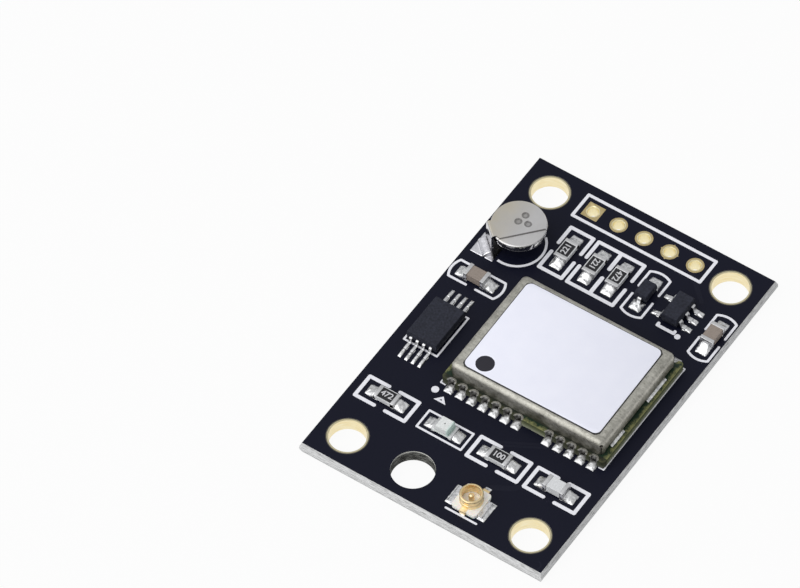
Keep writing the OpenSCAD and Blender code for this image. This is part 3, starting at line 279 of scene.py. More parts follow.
# The inside of each hole and the inner edge of its pad are painted pale as painted light; the outer ring
# keeps the darker gold.
lit_cup = beside.across(behind) + wear * 0.2 < lit_cup_radius
ring_gold = wear.mix((0.5, 0.39, 0.17), (0.78, 0.64, 0.36))
grain.surface({
    "Base Color": lit_cup.mix(ring_gold, wear.mix((0.93, 0.81, 0.47), (0.98, 0.91, 0.64))),
    "Metallic": 1.0,
    "Roughness": 0.28 + grain * 0.2,
    "Normal": (grain + wear * 2.0).bump(0.000012, 0.5),
})
for node, material in (("mounting_hole_sleeves", gilt), ("header_pads", pad_gilt)):
    dress(softened(node, width=0.000012, steps=1), material)


# Printed legend
# Outlines, dots and a small triangle, screen-printed in white epoxy ink on the mask.
# The ink stands a little proud and thins out in pin-holes, and a strip of it beside the receiver is painted
# near-black as shade.
strip_start = 0.07
strip_end = 0.5
strip_half = 5.8
ink, place = begin_finish("white_ink")
low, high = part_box("receiver_board")
x, y = place.xyz()[:2]
body = place.noise(5.0, 4.0)
beside = x - high.x * 1000.0
along = y - (low.y + high.y) * 500.0
# Painted shade: beside the receiver the ink is darkened almost to the mask's colour.
shaded_strip = (beside > strip_start) * (beside < strip_end) * (abs(along) < strip_half)
full_ink = body.mix((0.72, 0.72, 0.78), (0.93, 0.93, 0.97))
body.surface({
    "Base Color": (shaded_strip * 0.85).mix(full_ink, (0.01, 0.01, 0.015)),
    "Roughness": 0.55 + body * 0.2,
    "Normal": body.bump(0.00001, 0.6),
})
dress(frame["nodes"]["legend"], ink)


# Receiver board
# The receiver stands on its own small green laminate, with a row of plated half-holes on each long edge.
# Its mask is satin and stained by flux along the front, and the sawn edges show the glass cloth.
flux_depth = 0.5
clean_shift = 1.1
clean_half = 1.2
laminate, place = begin_finish("green_laminate")
low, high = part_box("receiver_board")
half = (high - low) * 500.0
middle = (high + low) * 500.0
x, y, z = place.xyz()
is_face = abs(place.upward()) > 0.5
cloth = place.stretched(0.8, 0.8, 9.0).noise(1.8, 5.0)
speckle = place.noise(7.0, 4.0)
depth = (high.z * 1000.0 - z) * (0.5 / half.z)
sawn = (depth * 0.75 + cloth * 0.6 - 0.24).ramp([
    (0.0, (0.13, 0.145, 0.06)), (0.12, (0.05, 0.062, 0.026)), (0.45, (0.15, 0.165, 0.09)),
    (0.9, (0.37, 0.38, 0.3))])
from_rim = (half.x - abs(x - middle.x)).at_most(half.y - abs(y - middle.y))
patches = place.noise(2.2, 5.0)
# The ledge is painted lighter at the board's rim and darker inward towards the can's walls, as painted light
# and shade, with random patches over it.
ledge_shade_and_patches = (0.24 - from_rim) * 2.6 + (patches - 0.5) * 2.6 + (speckle - 0.5) * 1.6 + 0.3
shaded_ledge = ledge_shade_and_patches.mix((0.008, 0.024, 0.012), (0.21, 0.21, 0.085))
by_joints = (y < low.y * 1000.0 + flux_depth) * (abs(x - middle.x - clean_shift) > clean_half)
fluxed = by_joints * (0.55 + patches * 0.4)
is_face.surface({
    "Base Color": fluxed.mix(is_face.mix(sawn, shaded_ledge), (0.014, 0.014, 0.009)),
    "Roughness": 0.75 - is_face * 0.3 + speckle * 0.1,
    "Specular IOR Level": 0.3,
    "Normal": (cloth + speckle).bump(0.000015, 0.5),
})
dress(softened("receiver_board", width=0.00003), laminate)
tinned, place = begin_finish("tinned_plating")
wear = place.noise(5.0, 4.0)
wear.surface({
    "Base Color": (wear * 2.0 - 0.5).mix((0.2, 0.195, 0.185), (0.62, 0.61, 0.59)),
    "Metallic": 1.0,
    "Roughness": 0.2 + wear * 0.25,
    "Normal": wear.bump(0.00004, 0.6),
})
dress(softened("receiver_castellations", width=0.00001, steps=1), tinned)


# Solder of the receiver and of every other part
# Tin solder wets the lands and climbs each end as a hollow fillet. It sets bright, with a slight
# orange-peel skin, duller where flux stood on it. Round the cell and the socket it lies in flat pools.
def melted(node, swell_by, evened):
    """A copy of a solid with the rounded, uneven skin of set solder, which stands for it."""
    bpy.ops.object.select_all(action="DESELECT")
    bpy.ops.mesh.primitive_plane_add()
    piece = bpy.context.object
    piece.name = "set_" + node
    piece.data = frame["nodes"][node].data.copy()
    piece.data.transform(Matrix.Scale(1000.0, 4))
    bpy.ops.object.mode_set(mode="EDIT")
    bpy.ops.mesh.select_all(action="SELECT")
    bpy.ops.mesh.remove_doubles(threshold=0.0002)
    bpy.ops.object.mode_set(mode="OBJECT")
    grid = piece.modifiers.new("grid", "REMESH")
    grid.mode = "VOXEL"
    grid.voxel_size = 0.034
    ease = piece.modifiers.new("ease", "SMOOTH")
    ease.factor = 0.5
    ease.iterations = evened
    waves = bpy.data.textures.new("waves", "CLOUDS")
    waves.noise_scale = 0.32
    waves.noise_depth = 1
    swell = piece.modifiers.new("swell", "DISPLACE")
    swell.texture = waves
    swell.texture_coords = "LOCAL"
    swell.strength = 3.0 * swell_by
    swell.mid_level = 0.5 - swell_by * 4.0
    for step in ("grid", "ease", "swell"):
        bpy.ops.object.modifier_apply(modifier=step)
    piece.data.transform(Matrix.Scale(0.001, 4))
    bpy.ops.object.shade_smooth()
    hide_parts(node)
    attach(piece, "root")
    return piece


solder_film = 0.00006
solder_sunk = 0.00002


def joint(start, out, width, reach, under, climb, pool, seed):
    """One solder joint on its land: round at the rim, full in the middle, hollow up to the part's end."""
    bpy.ops.object.select_all(action="DESELECT")
    bpy.ops.mesh.primitive_grid_add(x_subdivisions=22, y_subdivisions=16, size=2.0)
    piece = bpy.context.object
    aside = Vector((-out.y, out.x, 0.0))
    for vert in piece.data.vertices:
        along = (vert.co.x + 1.0) / 2 * (reach + under) - under
        far = min(max(along, 0.0) / reach, 1.0)
        across = max(-1.0, min(vert.co.y, 1.0))
        wave = noise.noise(Vector((along * 4200.0, across * 2.1, seed)))
        edge = ((1.0 - across ** 4) * (1.0 - far ** 8)) ** 0.5
        rise = climb * (1.0 - far) ** 2.3 * (1.0 - 0.35 * across ** 2) if along >= 0.0 else 0.0
        swell = pool * (4.0 * far * (1.0 - far)) ** 0.5 * (1.0 - across ** 4) ** 0.6 * (1.0 + 0.25 * wave)
        high = edge * (solder_film + rise + swell + 0.018 * width * wave)
        ragged = 1.0 - 0.16 * far ** 4 + 0.06 * wave * abs(across) * far
        vert.co = start + out * along + aside * across * width / 2 * ragged + Vector((0.0, 0.0, high))
    bpy.ops.object.mode_set(mode="EDIT")
    bpy.ops.mesh.select_mode(type="EDGE")
    bpy.ops.mesh.select_all(action="DESELECT")
    bpy.ops.mesh.select_non_manifold()
    bpy.ops.mesh.extrude_region_move()
    bpy.ops.object.mode_set(mode="OBJECT")
    for vert in piece.data.vertices:
        if vert.select:
            vert.co.z = start.z - solder_sunk
    bpy.ops.object.mode_set(mode="EDIT")
    bpy.ops.mesh.edge_face_add()
    bpy.ops.mesh.select_all(action="SELECT")
    bpy.ops.mesh.normals_make_consistent(inside=False)
    bpy.ops.object.mode_set(mode="OBJECT")
    return piece


def joints(node, places):
    """The joints of one node, joined as one piece that stands for it."""
    made = []
    for number, place in enumerate(places):
        made.append(joint(*place, seed=number * 7.3 + len(node)))
    bpy.ops.object.select_all(action="DESELECT")
    for piece in made:
        piece.select_set(True)
    bpy.context.view_layer.objects.active = made[0]
    bpy.ops.object.join()
    piece = bpy.context.object
    piece.name = "set_" + node
    bpy.ops.object.shade_smooth()
    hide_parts(node)
    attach(piece, "root")
    return piece


chip_land = 0.0012
chip_reach = 0.00093
chip_under = 0.00036
end_cap = 0.00005


def part_ends(node, lies, climb, pool, reach=chip_reach):
    """Both joints of a chip part, which lies along X or Y between its two end caps."""
    low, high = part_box(node)
    middle = (low + high) / 2
    middle.z = board_top
    out = Vector(lies)
    half = (high - low).dot(out) / 2 + end_cap
    return [(middle + out * way * half, out * way, chip_land, reach, chip_under, climb, pool)
            for way in (-1.0, 1.0)]


along_x = (1.0, 0.0, 0.0)
along_y = (0.0, 1.0, 0.0)
resistors = {
    "serial_resistor_a": along_y, "serial_resistor_b": along_y, "pull_up_resistor_back": along_y,
    "pull_up_resistor_front": along_x, "antenna_feed_resistor": along_x,
}
ends = {
    "resistor_solder": [
        spot for node, lies in resistors.items()
        for spot in part_ends(node, lies, climb=0.00031, pool=0.00011)],
    "inductor_solder": part_ends("inductor_body", along_x, climb=0.0005, pool=0.0001),
    "capacitor_solder": (
        part_ends("input_capacitor", along_x, climb=0.00053, pool=0.0001)
        + part_ends("output_capacitor", along_y, climb=0.00053, pool=0.0001)),
    "light_solder": part_ends("light_base", along_x, climb=0.00027, pool=0.00009, reach=0.00082),
}
# The lands of the leaded parts: width, reach past the toe, reach under the lead, fullness, how far the joint
# starts in from the toe, and the number and pitch of the leads on each side.
lead_climb = 0.00012
for part, lies, wide, reach, under, pool, toe_in, count, pitch in (
        ("memory", along_y, 0.00036, 0.0009, 0.00045, 0.00006, 0.0, 4, 0.00065),
        ("regulator", along_x, 0.00054, 0.00052, 0.00028, 0.00006, 0.0, 3, 0.00095),
        ("diode", along_y, 0.0012, 0.00096, 0.0001, 0.00017, 0.0003, 1, 0.0)):
    low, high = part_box(part + "_leads")
    middle = (low + high) / 2
    out = Vector(lies)
    aside = Vector((out.y, out.x, 0.0))
    toe = (high - low).dot(out) / 2 - toe_in
    spots = []
    for way in (-1.0, 1.0):
        for number in range(count):
            row = (number - (count - 1) / 2) * pitch
            if part == "regulator" and way < 0.0 and row == 0.0:
                continue
            start = middle + out * way * toe + aside * row
            start.z = board_top
            spots.append((start, out * way, wide, reach, under, lead_climb, pool))
    ends[part + "_solder"] = spots
tin_solder, place = begin_finish("tin_solder")
skin = place.noise(5.0, 4.0)
flux = place.noise(3.4, 4.0)
skin.surface({
    "Base Color": (flux * 3.0 - 0.8).mix((0.44, 0.44, 0.45), (0.95, 0.95, 0.95)),
    "Metallic": 1.0,
    "Roughness": 0.14 + flux * 0.26,
    "Normal": (skin + flux).bump(0.00005, 0.6),
})
for node, spots in ends.items():
    dress(joints(node, spots), tin_solder)

# The pool at the foot of the cell's top tab. Under the cell it is flat and lies in the dark.
tab_turn = math.radians(228.0)
tab_out = Vector((math.cos(tab_turn), math.sin(tab_turn), 0.0))
tab_leg = 0.00252
low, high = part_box("backup_cell")
cell_middle = (low + high) / 2
smooth_tin, place = begin_finish("smooth_tin")
x, y = place.xyz()[:2]
flux = place.noise(0.8, 3.0)
out_by = (x - cell_middle.x * 1000.0) * tab_out.x + (y - cell_middle.y * 1000.0) * tab_out.y
shaded = (out_by < tab_leg * 1000.0) * 0.95
bright_tin = (flux * 1.6 - 0.3).mix((0.7, 0.69, 0.74), (0.9, 0.895, 0.93))
flux.surface({
    "Base Color": shaded.mix(bright_tin, (0.015, 0.015, 0.016)),
    "Metallic": 1.0,
    "Roughness": 0.2 + flux * 0.16,
    "Normal": flux.bump(0.00002, 0.3),
})
for node, material, swell_by, evened in (
        ("cell_solder", smooth_tin, 0.003, 40), ("coax_socket_solder", tin_solder, 0.02, 10)):
    piece = melted(node, swell_by, evened)
    for vert in piece.data.vertices:
        if (vert.co - cell_middle).dot(tab_out) < tab_leg and vert.co.y > 0.0:
            vert.co.z = min(vert.co.z, board_top + solder_film)
    dress(piece, material)

# The receiver's joints start inside its half-holes, in rows of seven and five on each long edge.
edge_pitch = 0.0011
edge_in = 0.001
edge_land = 0.00088
edge_reach = 0.00064
edge_under = 0.00002
edge_climb = 0.0002
edge_pool = 0.00009
start_in = 0.0002
low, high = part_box("receiver_board")
middle = (low + high) / 2
half = (high - low) / 2
fluxed_solder, place = begin_finish("fluxed_solder")
skin = place.noise(6.0, 4.0)
flux = place.noise(3.4, 4.0)
out_by = abs(place.xyz()[1] - middle.y * 1000.0) - half.y * 1000.0
bright = (out_by + skin * 0.2 + 0.04) * 4.0
skin.surface({
    "Base Color": (bright * (flux * 2.6 - 0.7)).mix((0.13, 0.128, 0.125), (0.66, 0.66, 0.665)),
    "Metallic": 1.0,
    "Roughness": 0.26 + skin * 0.2,
    "Normal": (skin + flux).bump(0.00004, 0.6),
})
spots = []
for way in (-1.0, 1.0):
    for side, count in ((-1.0, 7), (1.0, 5)):
        for number in range(count):
            across = side * (half.x - edge_in - number * edge_pitch)
            start = Vector((middle.x + across, middle.y + way * (half.y - start_in), board_top))
            spots.append((start, Vector((0.0, way, 0.0)), edge_land, edge_reach + start_in, edge_under,
                          edge_climb, edge_pool))
dress(joints("receiver_solder", spots), fluxed_solder)


# Shield can
# One sheet of nickel silver, folded down on four sides over the receiver, with a relief hole and an open
# seam at each corner. The end walls stand on two feet each, and solder beads hold those to the board.
def pick(kind, test):
    """Selects, in edit mode, the faces or edges that pass a test, and nothing else."""
    bpy.ops.mesh.select_all(action="DESELECT")
    bpy.ops.mesh.select_mode(type="FACE" if kind == "faces" else "EDGE")
    shape = bmesh.from_edit_mesh(bpy.context.object.data)
    for part in getattr(shape, kind):
        if test(part):
            part.select_set(True)
    bmesh.update_edit_mesh(bpy.context.object.data)


def new_block(name, low, high):
    """A box between two corners, left in edit mode."""
    bpy.ops.object.select_all(action="DESELECT")
    bpy.ops.mesh.primitive_cube_add(size=1.0)
    piece = bpy.context.object
    piece.name = name
    bpy.ops.object.mode_set(mode="EDIT")
    bpy.ops.transform.resize(value=high - low)
    bpy.ops.transform.translate(value=(high + low) / 2)
    return piece


def cut_away(piece, cutter):
    """Cuts one piece out of another and throws the cutter away."""
    cutting = piece.modifiers.new("cutting", "BOOLEAN")
    cutting.object = cutter
    cutting.solver = "EXACT"
    bpy.context.view_layer.objects.active = piece
    bpy.ops.object.modifier_apply(modifier="cutting")
    bpy.data.objects.remove(cutter)


sheet = 0.0002
fold = 0.00045
corner = 0.0005
lift = 0.00028
relief_radius = 0.00016
seam_width = 0.00008
cut_depth = 0.0008
low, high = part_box("shield_can")
can = new_block("shield_cover", low, high)
pick("edges", lambda edge: abs(edge.verts[0].co.z - edge.verts[1].co.z) > sheet)
bpy.ops.mesh.bevel(offset=corner, segments=6, affect="EDGES")
pick("edges", lambda edge: all(vert.co.z > high.z - sheet / 2 for vert in edge.verts))
bpy.ops.mesh.bevel(offset=fold, segments=6, affect="EDGES")
pick("faces", lambda face: face.normal.z < -0.9)
bpy.ops.mesh.delete(type="FACE")
bpy.ops.object.mode_set(mode="OBJECT")
wall = can.modifiers.new("wall", "SOLIDIFY")
wall.thickness = sheet
wall.offset = -1.0
bpy.ops.object.modifier_apply(modifier="wall")
# Each end wall is cut up from the board on both sides of its front foot and its back foot.
middle = (low.y + high.y) / 2
front_foot = (middle - 0.0043, middle - 0.0024)
back_foot = (middle + 0.0011, middle + 0.0039)
gaps = [(low.y + corner, front_foot[0]), (front_foot[1], back_foot[0]), (back_foot[1], high.y - corner)]
for side in (low.x, high.x):
    for start, end in gaps:
        slit = new_block("slit", Vector((side - 2 * sheet, start, low.z - lift)),
                         Vector((side + 2 * sheet, end, low.z + lift)))
        bpy.ops.object.mode_set(mode="OBJECT")
        cut_away(can, slit)
seam_height = high.z - fold - low.z
for side_x, turn_x in ((low.x, 1.0), (high.x, -1.0)):
    for side_y, turn_y in ((low.y, 1.0), (high.y, -1.0)):
        inward = Vector((turn_x, turn_y, 0.0)).normalized()
        centre = Vector((side_x + turn_x * corner, side_y + turn_y * corner, high.z - fold))
        outermost = centre - inward * corner
        bpy.ops.object.select_all(action="DESELECT")
        bpy.ops.mesh.primitive_cylinder_add(
            radius=relief_radius, depth=cut_depth, vertices=24, location=outermost,
            rotation=inward.to_track_quat("Z", "Y").to_euler())
        relief = bpy.context.object
        bpy.ops.object.transform_apply()
        cut_away(can, relief)
        bpy.ops.object.select_all(action="DESELECT")
        bpy.ops.mesh.primitive_cube_add(size=1.0)
        seam = bpy.context.object
        seam.matrix_world = (
            Matrix.Translation(Vector((outermost.x, outermost.y, low.z + seam_height / 2 - sheet)))
            @ inward.to_track_quat("X", "Z").to_matrix().to_4x4()
            @ Matrix.Diagonal((cut_depth, seam_width, seam_height, 1.0)))
        bpy.ops.object.transform_apply()
        cut_away(can, seam)
bpy.ops.object.select_all(action="DESELECT")
can.select_set(True)
bpy.context.view_layer.objects.active = can
bpy.ops.object.shade_smooth_by_angle(angle=math.radians(35.0))
# A dark line is painted round the label as the shadow of its edge; the label lies a little askew on the can.
label_width = 0.0132
label_length = 0.0101
label_tilt = math.radians(0.6)
label_low, label_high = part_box("receiver_label")
label_middle = (label_low + label_high) / 2
label_shadow_width = 0.09
label_shadow_depth = 0.11
label_shadow_corner = 11.5
shade_from = 3.25
nickel, place = begin_finish("nickel_silver")
x, y, z = place.xyz()
roll = place.stretched(0.4, 2.0, 0.8).noise(3.0, 5.0)
stain = place.noise(0.45, 4.0)
mottle = place.noise(3.4, 5.0)
speck = (place.noise(8.0, 2.0) > 0.64) * 0.35
from_x = x - label_middle.x * 1000.0
from_y = y - label_middle.y * 1000.0
aside = abs(from_x + from_y * label_tilt)
ahead = abs(from_y - from_x * label_tilt)
# Painted shadow: a thin band of the can's top just outside the label is darkened.
in_line = (aside < label_width * 500.0 + label_shadow_width) * (ahead < label_length * 500.0 + label_shadow_width)
label_shadow = in_line * (z > high.z * 1000.0 - label_shadow_depth) * (aside + ahead < label_shadow_corner)
# Painted shade: the walls grow darker towards the board below shade_from.
low_wall_shade = (shade_from - z).at_least(0.0)
nickel_tone = stain * 0.9 + mottle * 0.9 + roll * 0.8 - speck - low_wall_shade * 0.75 - 0.55
nickel_colour = nickel_tone.mix((0.17, 0.165, 0.135), (0.6, 0.585, 0.53))
roll.surface({
    "Base Color": (label_shadow * 0.85).mix(nickel_colour, (0.02, 0.02, 0.02)),
    "Metallic": 1.0,
    "Roughness": 0.36 + stain * 0.2 + roll * 0.12,
    "Normal": (roll + mottle).bump(0.00002, 0.6),
})
dress(can, nickel)
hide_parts("shield_can")
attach(can, "root")
dress(softened("shield_can_solder", width=0.00004, steps=3), tin_solder)


# Label
# A white coated-paper label, cut with rounded corners and stuck on the can a little askew.
# It is bare but for one printed dot, which marks the corner of the first terminal.
label_corner = 0.00055
label_easing = 0.00003
half_sheet = Vector((label_width / 2, label_length / 2, 0.0))
label = new_block("label_sheet", Vector((0.0, 0.0, label_low.z)) - half_sheet,
                  Vector((0.0, 0.0, label_high.z)) + half_sheet)
pick("edges", lambda edge: abs(edge.verts[0].co.z - edge.verts[1].co.z) > 0.00001)
bpy.ops.mesh.bevel(offset=label_corner, segments=7, affect="EDGES")
pick("edges", lambda edge: all(vert.co.z > label_high.z - 0.00001 for vert in edge.verts))
bpy.ops.mesh.bevel(offset=label_easing, segments=2, affect="EDGES")
bpy.ops.object.mode_set(mode="OBJECT")
label_place = Matrix.Translation((label_middle.x, label_middle.y, 0.0))
label.data.transform(label_place @ Matrix.Rotation(label_tilt, 4, "Z"))
bpy.ops.object.shade_smooth_by_angle(angle=math.radians(35.0))
dot_x = label_middle.x * 1000.0 - 5.0
dot_y = label_middle.y * 1000.0 - 4.05
dot_area = 0.7
paper, place = begin_finish("label_paper")
x, y = place.xyz()[:2]
fibre = place.noise(16.0, 5.0)
cloud = place.noise(0.5, 3.0)
ragged = (x - dot_x) * (x - dot_x) + (y - dot_y) * (y - dot_y) + fibre * 0.09
is_dot = ragged < dot_area
# The dot is printed; the label's cut edges are painted near-black as shade.
dot_and_shaded_edge = is_dot.at_least(place.upward() < 0.6)
sheet_colour = (cloud * 0.6 + fibre * 0.4).mix((0.8, 0.81, 0.92), (0.9, 0.905, 0.99))
fibre.surface({
    "Base Color": dot_and_shaded_edge.mix(sheet_colour, (0.021, 0.02, 0.028)),
    "Roughness": 0.5 + fibre * 0.15,
    "Specular IOR Level": 0.25,
    "Normal": (fibre + cloud * 3.0).bump(0.000008, 0.5),
})
dress(label, paper)
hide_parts("receiver_label")
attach(label, "root")


# Parts under the can
# The receiver chip, an oscillator and a crystal in metal cans, a ceramic filter and a row of passives,
# all soldered on the green laminate and closed in by the can. Parts outside it share these finishes.
moulding, place = begin_finish("black_moulding")
grit = place.noise(5.5, 5.0)
sheen = place.noise(1.1, 2.0)
grit.surface({
    "Base Color": (grit * 1.7 + sheen * 0.4 - 0.55).mix((0.0045, 0.0052, 0.0105), (0.029, 0.032, 0.05)),
    "Roughness": 0.56 + grit * 0.2,
    "Specular IOR Level": 0.3,
    "Normal": grit.bump(0.00002, 0.8),
})
ceramic, place = begin_finish("pale_ceramic")
grit = place.noise(10.0, 4.0)
grit.surface({
    "Base Color": (grit * 1.4 - 0.2).mix((0.55, 0.56, 0.575), (0.78, 0.79, 0.8)),
    "Roughness": 0.42 + grit * 0.2,
    "Normal": grit.bump(0.00001, 0.5),
})
brown_ceramic, place = begin_finish("brown_ceramic")
grit = place.noise(8.0, 5.0)
grit.surface({
    "Base Color": grit.mix((0.19, 0.15, 0.125), (0.36, 0.305, 0.265)),
    "Roughness": 0.4 + grit * 0.2,
    "Normal": grit.bump(0.000012, 0.6),
})
for node, material in (("receiver_chip", moulding), ("reference_oscillator", nickel),
                       ("clock_crystal", nickel), ("band_filter", ceramic),
                       ("receiver_passives", brown_ceramic)):
    dress(frame["nodes"][node], material)


# Backup cell
# A sealed coin cell of pressed steel, held up by two spot-welded tabs whose legs are bent down to the lands.
# The wide can faces up, and a crimped seam shows below it round the narrower cap.
cap_radius = 0.0019
cap_height = 0.0003
edge_radius = 0.00014
seam_groove = 0.00006
cap_easing = 0.00008
low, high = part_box("backup_cell")
radius = (high.x - low.x) / 2
bpy.ops.object.select_all(action="DESELECT")
bpy.ops.mesh.primitive_cylinder_add(
    radius=radius, depth=high.z - low.z - cap_height, vertices=96,
    location=(cell_middle.x, cell_middle.y, (low.z + high.z + cap_height) / 2))
cell = bpy.context.object
cell.name = "coin_cell"
bpy.ops.object.transform_apply()
bpy.ops.object.mode_set(mode="EDIT")
pick("edges", lambda edge: abs(edge.verts[0].co.z - edge.verts[1].co.z) < edge_radius)
bpy.ops.mesh.bevel(offset=edge_radius, segments=5, affect="EDGES")
pick("faces", lambda face: face.normal.z < -0.99)
bpy.ops.mesh.inset(thickness=radius - edge_radius - cap_radius - seam_groove)
bpy.ops.mesh.inset(thickness=seam_groove, depth=-seam_groove)
bpy.ops.mesh.extrude_region_move(TRANSFORM_OT_translate={"value": (0.0, 0.0, -cap_height - seam_groove)})
bpy.ops.mesh.bevel(offset=cap_easing, segments=3, affect="EDGES")
bpy.ops.object.mode_set(mode="OBJECT")
bpy.ops.object.shade_smooth_by_angle(angle=math.radians(40.0))
# Three welds have left burnt rings on the top tab, and a dark line along its straight edge is painted shadow.
welds = ((-8.317, 10.344), (-8.476, 9.498), (-7.641, 9.702))
weld_radius = 0.33
weld_ring = 0.25
weld_ring_half = 0.09
weld_core = 0.1
tab_edge = 1.12
tab_shadow_width = 0.07
tab_shadow_top = high.z * 1000.0 + 0.06
steel, place = begin_finish("pressed_steel")
x, y, z = place.xyz()
on_top = place.upward() > 0.8
brush = place.stretched(3.0, 0.5, 1.0).noise(4.0, 5.0)
tarnish = place.noise(0.7, 4.0)
burn = 0.0
core = 0.0
for weld_x, weld_y in welds:
    away = (x - weld_x).across(y - weld_y)
    burn = burn + (abs(away - weld_ring) < weld_ring_half) * 0.35 + (away < weld_radius) * 0.5
    core = core + (away < weld_core)
from_x = x - cell_middle.x * 1000.0
from_y = y - cell_middle.y * 1000.0
past_edge = from_y * tab_out.x - from_x * tab_out.y - tab_edge
tab_shadow = (past_edge > 0.0) * (past_edge < tab_shadow_width) * (z < tab_shadow_top)
warm = (x * -0.22 - 1.7) * on_top
steel_colour = (tarnish * 0.7 + brush * 0.3).mix((0.56, 0.55, 0.545), (0.74, 0.73, 0.735))
tinted = (warm * tarnish * 1.6).at_most(0.8).mix(steel_colour, (0.62, 0.54, 0.36))
brush.surface({
    "Base Color": (burn * on_top * (0.4 + brush * 0.8) + tab_shadow * 0.8).mix(tinted, (0.12, 0.115, 0.11)),
    "Metallic": 1.0,
    "Roughness": 0.08 + on_top * 0.28 + brush * 0.1,
    "Normal": (brush * on_top + burn * 2.0 - core).bump(0.00001, 0.5),
})
dress(cell, steel)
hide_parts("backup_cell")
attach(cell, "root")
dress(frame["nodes"]["cell_top_tab"], steel)
dress(softened("cell_bottom_tab", width=0.00002), steel)


# Coax socket
# A cream plastic base moulded round a gilt shell: the ring has a snap groove on its outside, two wings and
# a tongue are soldered to the board, and the pin stands in the middle.
cream, place = begin_finish("cream_plastic")
grit = place.noise(9.0, 4.0)
grit.surface({
    "Base Color": grit.mix((0.85, 0.815, 0.76), (0.93, 0.91, 0.88)),
    "Roughness": 0.42 + grit * 0.15,
    "Subsurface Weight": 0.1,
    "Subsurface Scale": 0.0002,
    "Normal": grit.bump(0.000008, 0.5),
})
socket_x = mounts["coax_socket"]["pos_m"][0] * 1000.0
wing_start = 1.27
socket_gilt, place = begin_finish("socket_gilt")
wear = place.noise(2.6, 4.0)
grain = place.noise(15.0, 2.0)
tinning = place.noise(4.2, 4.0)
wings = abs(place.xyz()[0] - socket_x) + grain * 0.1 > wing_start
gold = wear.mix((0.84, 0.62, 0.31), (0.95, 0.79, 0.5))
grain.surface({
    "Base Color": wings.mix(gold, (tinning * 3.0 - 0.9).mix((0.5, 0.5, 0.52), (0.95, 0.95, 0.96))),
    "Metallic": 1.0,
    "Roughness": 0.22 + grain * 0.16,
    "Normal": (grain * 0.1 + wings * tinning).bump(0.00006, 0.7),
})
for node, material, slot in (("coax_socket_base", cream, "socket_plastic"),
                             ("coax_socket_shell", socket_gilt, "gilt"),
                             ("coax_socket_pin", socket_gilt, "gilt")):
    dress(softened(node, width=0.000025), material)


# Memory chip, voltage regulator and diode
# Black epoxy bodies moulded over stamped lead frames, with tinned leads bent down to the lands.
# The moulding is matt and slightly gritty, and the leads are bright at their bends.
tin, place = begin_finish("tinned_leads")
wear = place.noise(6.0, 3.0)
wear.surface({
    "Base Color": wear.mix((0.6, 0.6, 0.61), (0.82, 0.82, 0.83)),
    "Metallic": 1.0,
    "Roughness": 0.26 + wear * 0.18,
    "Normal": wear.bump(0.00001, 0.4),
})
for part in ("memory", "regulator", "diode"):
    dress(softened(part + "_body", width=0.00004), moulding)
    dress(softened(part + "_leads", width=0.00002), tin)


# Status light
# A tiny white base with tinned ends carries the die, and a clear resin lens is moulded over both.
# The die shows through the lens as a dark dot, and the resin looks green towards one end.
white_plastic, place = begin_finish("light_base_plastic")
grit = place.noise(9.0, 3.0)
grit.surface({
    "Base Color": grit.mix((0.78, 0.84, 0.81), (0.9, 0.93, 0.91)),
    "Roughness": 0.45 + grit * 0.15,
    "Normal": grit.bump(0.000008, 0.4),
})
dot_area = 0.0085
green_start = 0.36
resin, place = begin_finish("clear_resin")
low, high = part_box("light_lens")
middle = (low + high) * 500.0
x, y = place.xyz()[:2]
haze = place.noise(3.0, 3.0)
grit = place.noise(9.0, 4.0)
from_die = (x - middle.x) * (x - middle.x) + (y - middle.y) * (y - middle.y)
die_dot = (from_die + grit * 0.006 < dot_area) * 0.75
green = ((x - middle.x - green_start) * 2.2).at_least(0.0)
clear = (grit * 1.6 - 0.3).mix((0.72, 0.75, 0.74), (0.98, 0.99, 0.985))
haze.surface({
    "Base Color": die_dot.mix(green.mix(clear, (0.45, 0.78, 0.66)), (0.06, 0.06, 0.06)),
    "Roughness": 0.12 + haze * 0.2,
    "Transmission Weight": 0.12,
    "IOR": 1.5,
    "Normal": (haze + grit).bump(0.00002, 0.5),
})
for node, material, slot in (("light_base", white_plastic, "white_plastic"), ("light_lens", resin, "lens"),
                             ("light_terminals", tin, "tin")):
    dress(softened(node, width=0.00002), material)
dress(frame["nodes"]["light_die"], ceramic)


# Inductor and capacitors
# Fired ceramic blocks with dipped, tinned end caps: a pale inductor and two brown capacitors.
# They lie across pairs of lands and are held by their solder alone.
for node, material, slot in (("inductor_body", ceramic, "ceramic"), ("inductor_end_caps", tin, "tin"),
                             ("input_capacitor", brown_ceramic, "brown_ceramic"),
                             ("output_capacitor", brown_ceramic, "brown_ceramic"),
                             ("capacitor_end_caps", tin, "tin")):
    dress(softened(node, width=0.00004, steps=3), material)


# Resistors
# White alumina blocks with tinned ends, and a black glass coat over the resistive film.
# Each coat carries its value in printed digits, which read along the part.
coat, place = begin_finish("black_coat")
pool = place.noise(4.0, 3.0)
pool.surface({
    "Base Color": pool.mix((0.009, 0.009, 0.011), (0.024, 0.024, 0.027)),
    "Roughness": 0.3 + pool * 0.2,
    "Specular IOR Level": 0.3,
    "Normal": pool.bump(0.00001, 0.5),
})
digits, place = begin_finish("printed_digits")
pool = place.noise(12.0, 3.0)
pool.surface({
    "Base Color": pool.mix((0.5, 0.5, 0.52), (0.72, 0.72, 0.74)),
    "Roughness": 0.5 + pool * 0.2,
})
for node in resistors:
    dress(frame["nodes"][node], ceramic)
dress(softened("resistor_end_caps", width=0.00003), tin)
dress(frame["nodes"]["resistor_coats"], coat)
coat_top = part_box("resistor_coats")[1].z
digit_size = 0.00078
digit_bolder = 0.000012
digit_raised = 0.000004
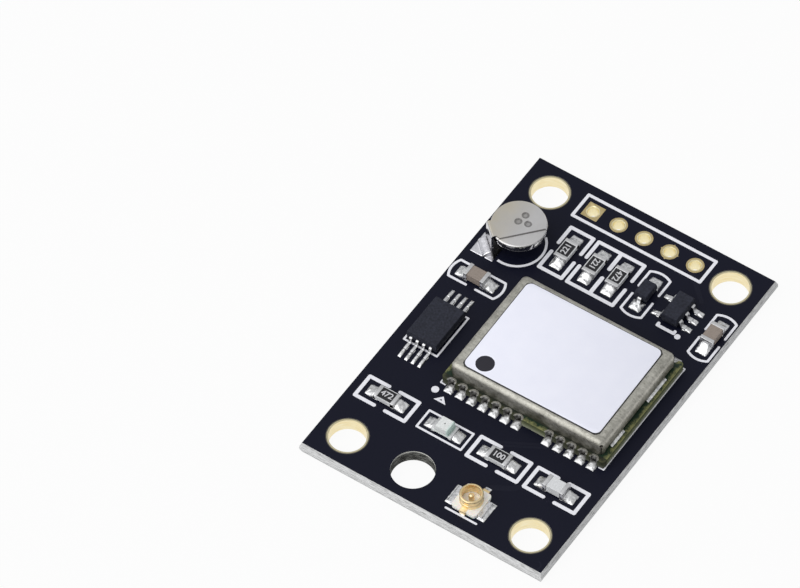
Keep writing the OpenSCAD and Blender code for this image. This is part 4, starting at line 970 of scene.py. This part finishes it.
values = (("serial_resistor_a", "221", 90.0), ("serial_resistor_b", "221", 270.0),
          ("pull_up_resistor_back", "472", 270.0), ("pull_up_resistor_front", "472", 0.0),
          ("antenna_feed_resistor", "100", 0.0))
for node, value, turn in values:
    low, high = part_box(node)
    bpy.ops.object.select_all(action="DESELECT")
    bpy.ops.object.text_add()
    mark = bpy.context.object
    mark.name = node + "_value"
    mark.data.body = value
    mark.data.align_x = "CENTER"
    mark.data.align_y = "CENTER"
    mark.data.size = digit_size
    mark.data.space_character = 0.95
    mark.data.offset = digit_bolder
    mark.data.extrude = digit_raised
    bpy.ops.object.convert(target="MESH")
    mark = bpy.context.object
    mark.location = ((low.x + high.x) / 2, (low.y + high.y) / 2, coat_top)
    mark.rotation_euler.z = math.radians(turn)
    bpy.ops.object.transform_apply()
    dress(mark, digits)
    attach(mark, "root")


# Studio
# A plain white table under a large soft lamp at the front left, with even light from all round,
# seen from above the front right through a long lens.
bpy.ops.object.select_all(action="DESELECT")
bpy.ops.mesh.primitive_plane_add(size=4.0, location=(0.0, 0.0, -0.00002))
floor = bpy.context.object
floor.name = "table"
table, place = begin_finish("white_table")
rays = ("Is Camera Ray", "Is Glossy Ray", "Is Transmission Ray")
camera_ray, glossy_ray, clear_ray = [place.node("ShaderNodeLightPath", {}, {}, ray) for ray in rays]
shows = (camera_ray + glossy_ray + clear_ray).at_most(1.0)
matt = place.node("ShaderNodeBsdfDiffuse", {}, {"Color": (0.8, 0.8, 0.8, 1.0)})
white = place.node("ShaderNodeEmission", {}, {"Color": (1.0, 1.0, 1.0, 1.0), "Strength": 0.99})
blend = place.node("ShaderNodeMixShader", {}, {0: shows * 0.94, 1: matt, 2: white})
place.node("ShaderNodeOutputMaterial", {}, {"Surface": blend})
dress(floor, table)

world = bpy.data.worlds.new("room")
bpy.context.scene.world = world
world.use_nodes = True
sky = world.node_tree
height = Tone(sky, sky.nodes.new("ShaderNodeTexCoord").outputs["Generated"]).xyz()[2]
shade = height.mix((0.4, 0.41, 0.42), (0.66, 0.665, 0.67))
sky.links.new(shade.socket, sky.nodes["Background"].inputs["Color"])

bpy.ops.object.light_add(type="AREA", location=(-0.22, -0.38, 0.46))
lamp = bpy.context.object
lamp.name = "soft_lamp"
lamp.data.size = 1.0
lamp.data.energy = 3.8
lamp.rotation_euler = (-lamp.location).to_track_quat("-Z", "Y").to_euler()

right = Vector((0.8283, 0.5602, -0.0116))
up = Vector((-0.4441, 0.6690, 0.5961))
back = Vector((0.3416, -0.4886, 0.8029))
eye = Vector((0.217675, -0.331349, 0.544646))
bpy.ops.object.camera_add()
camera = bpy.context.object
camera.data.sensor_width = 36.0
camera.data.lens = 366.17
camera.data.clip_end = 10.0
camera.matrix_world = Matrix([(*row, 0.0) for row in (right, up, back)] + [(*eye, 1.0)]).transposed()
bpy.context.scene.camera = camera
bpy.context.scene.view_settings.view_transform = "Standard"
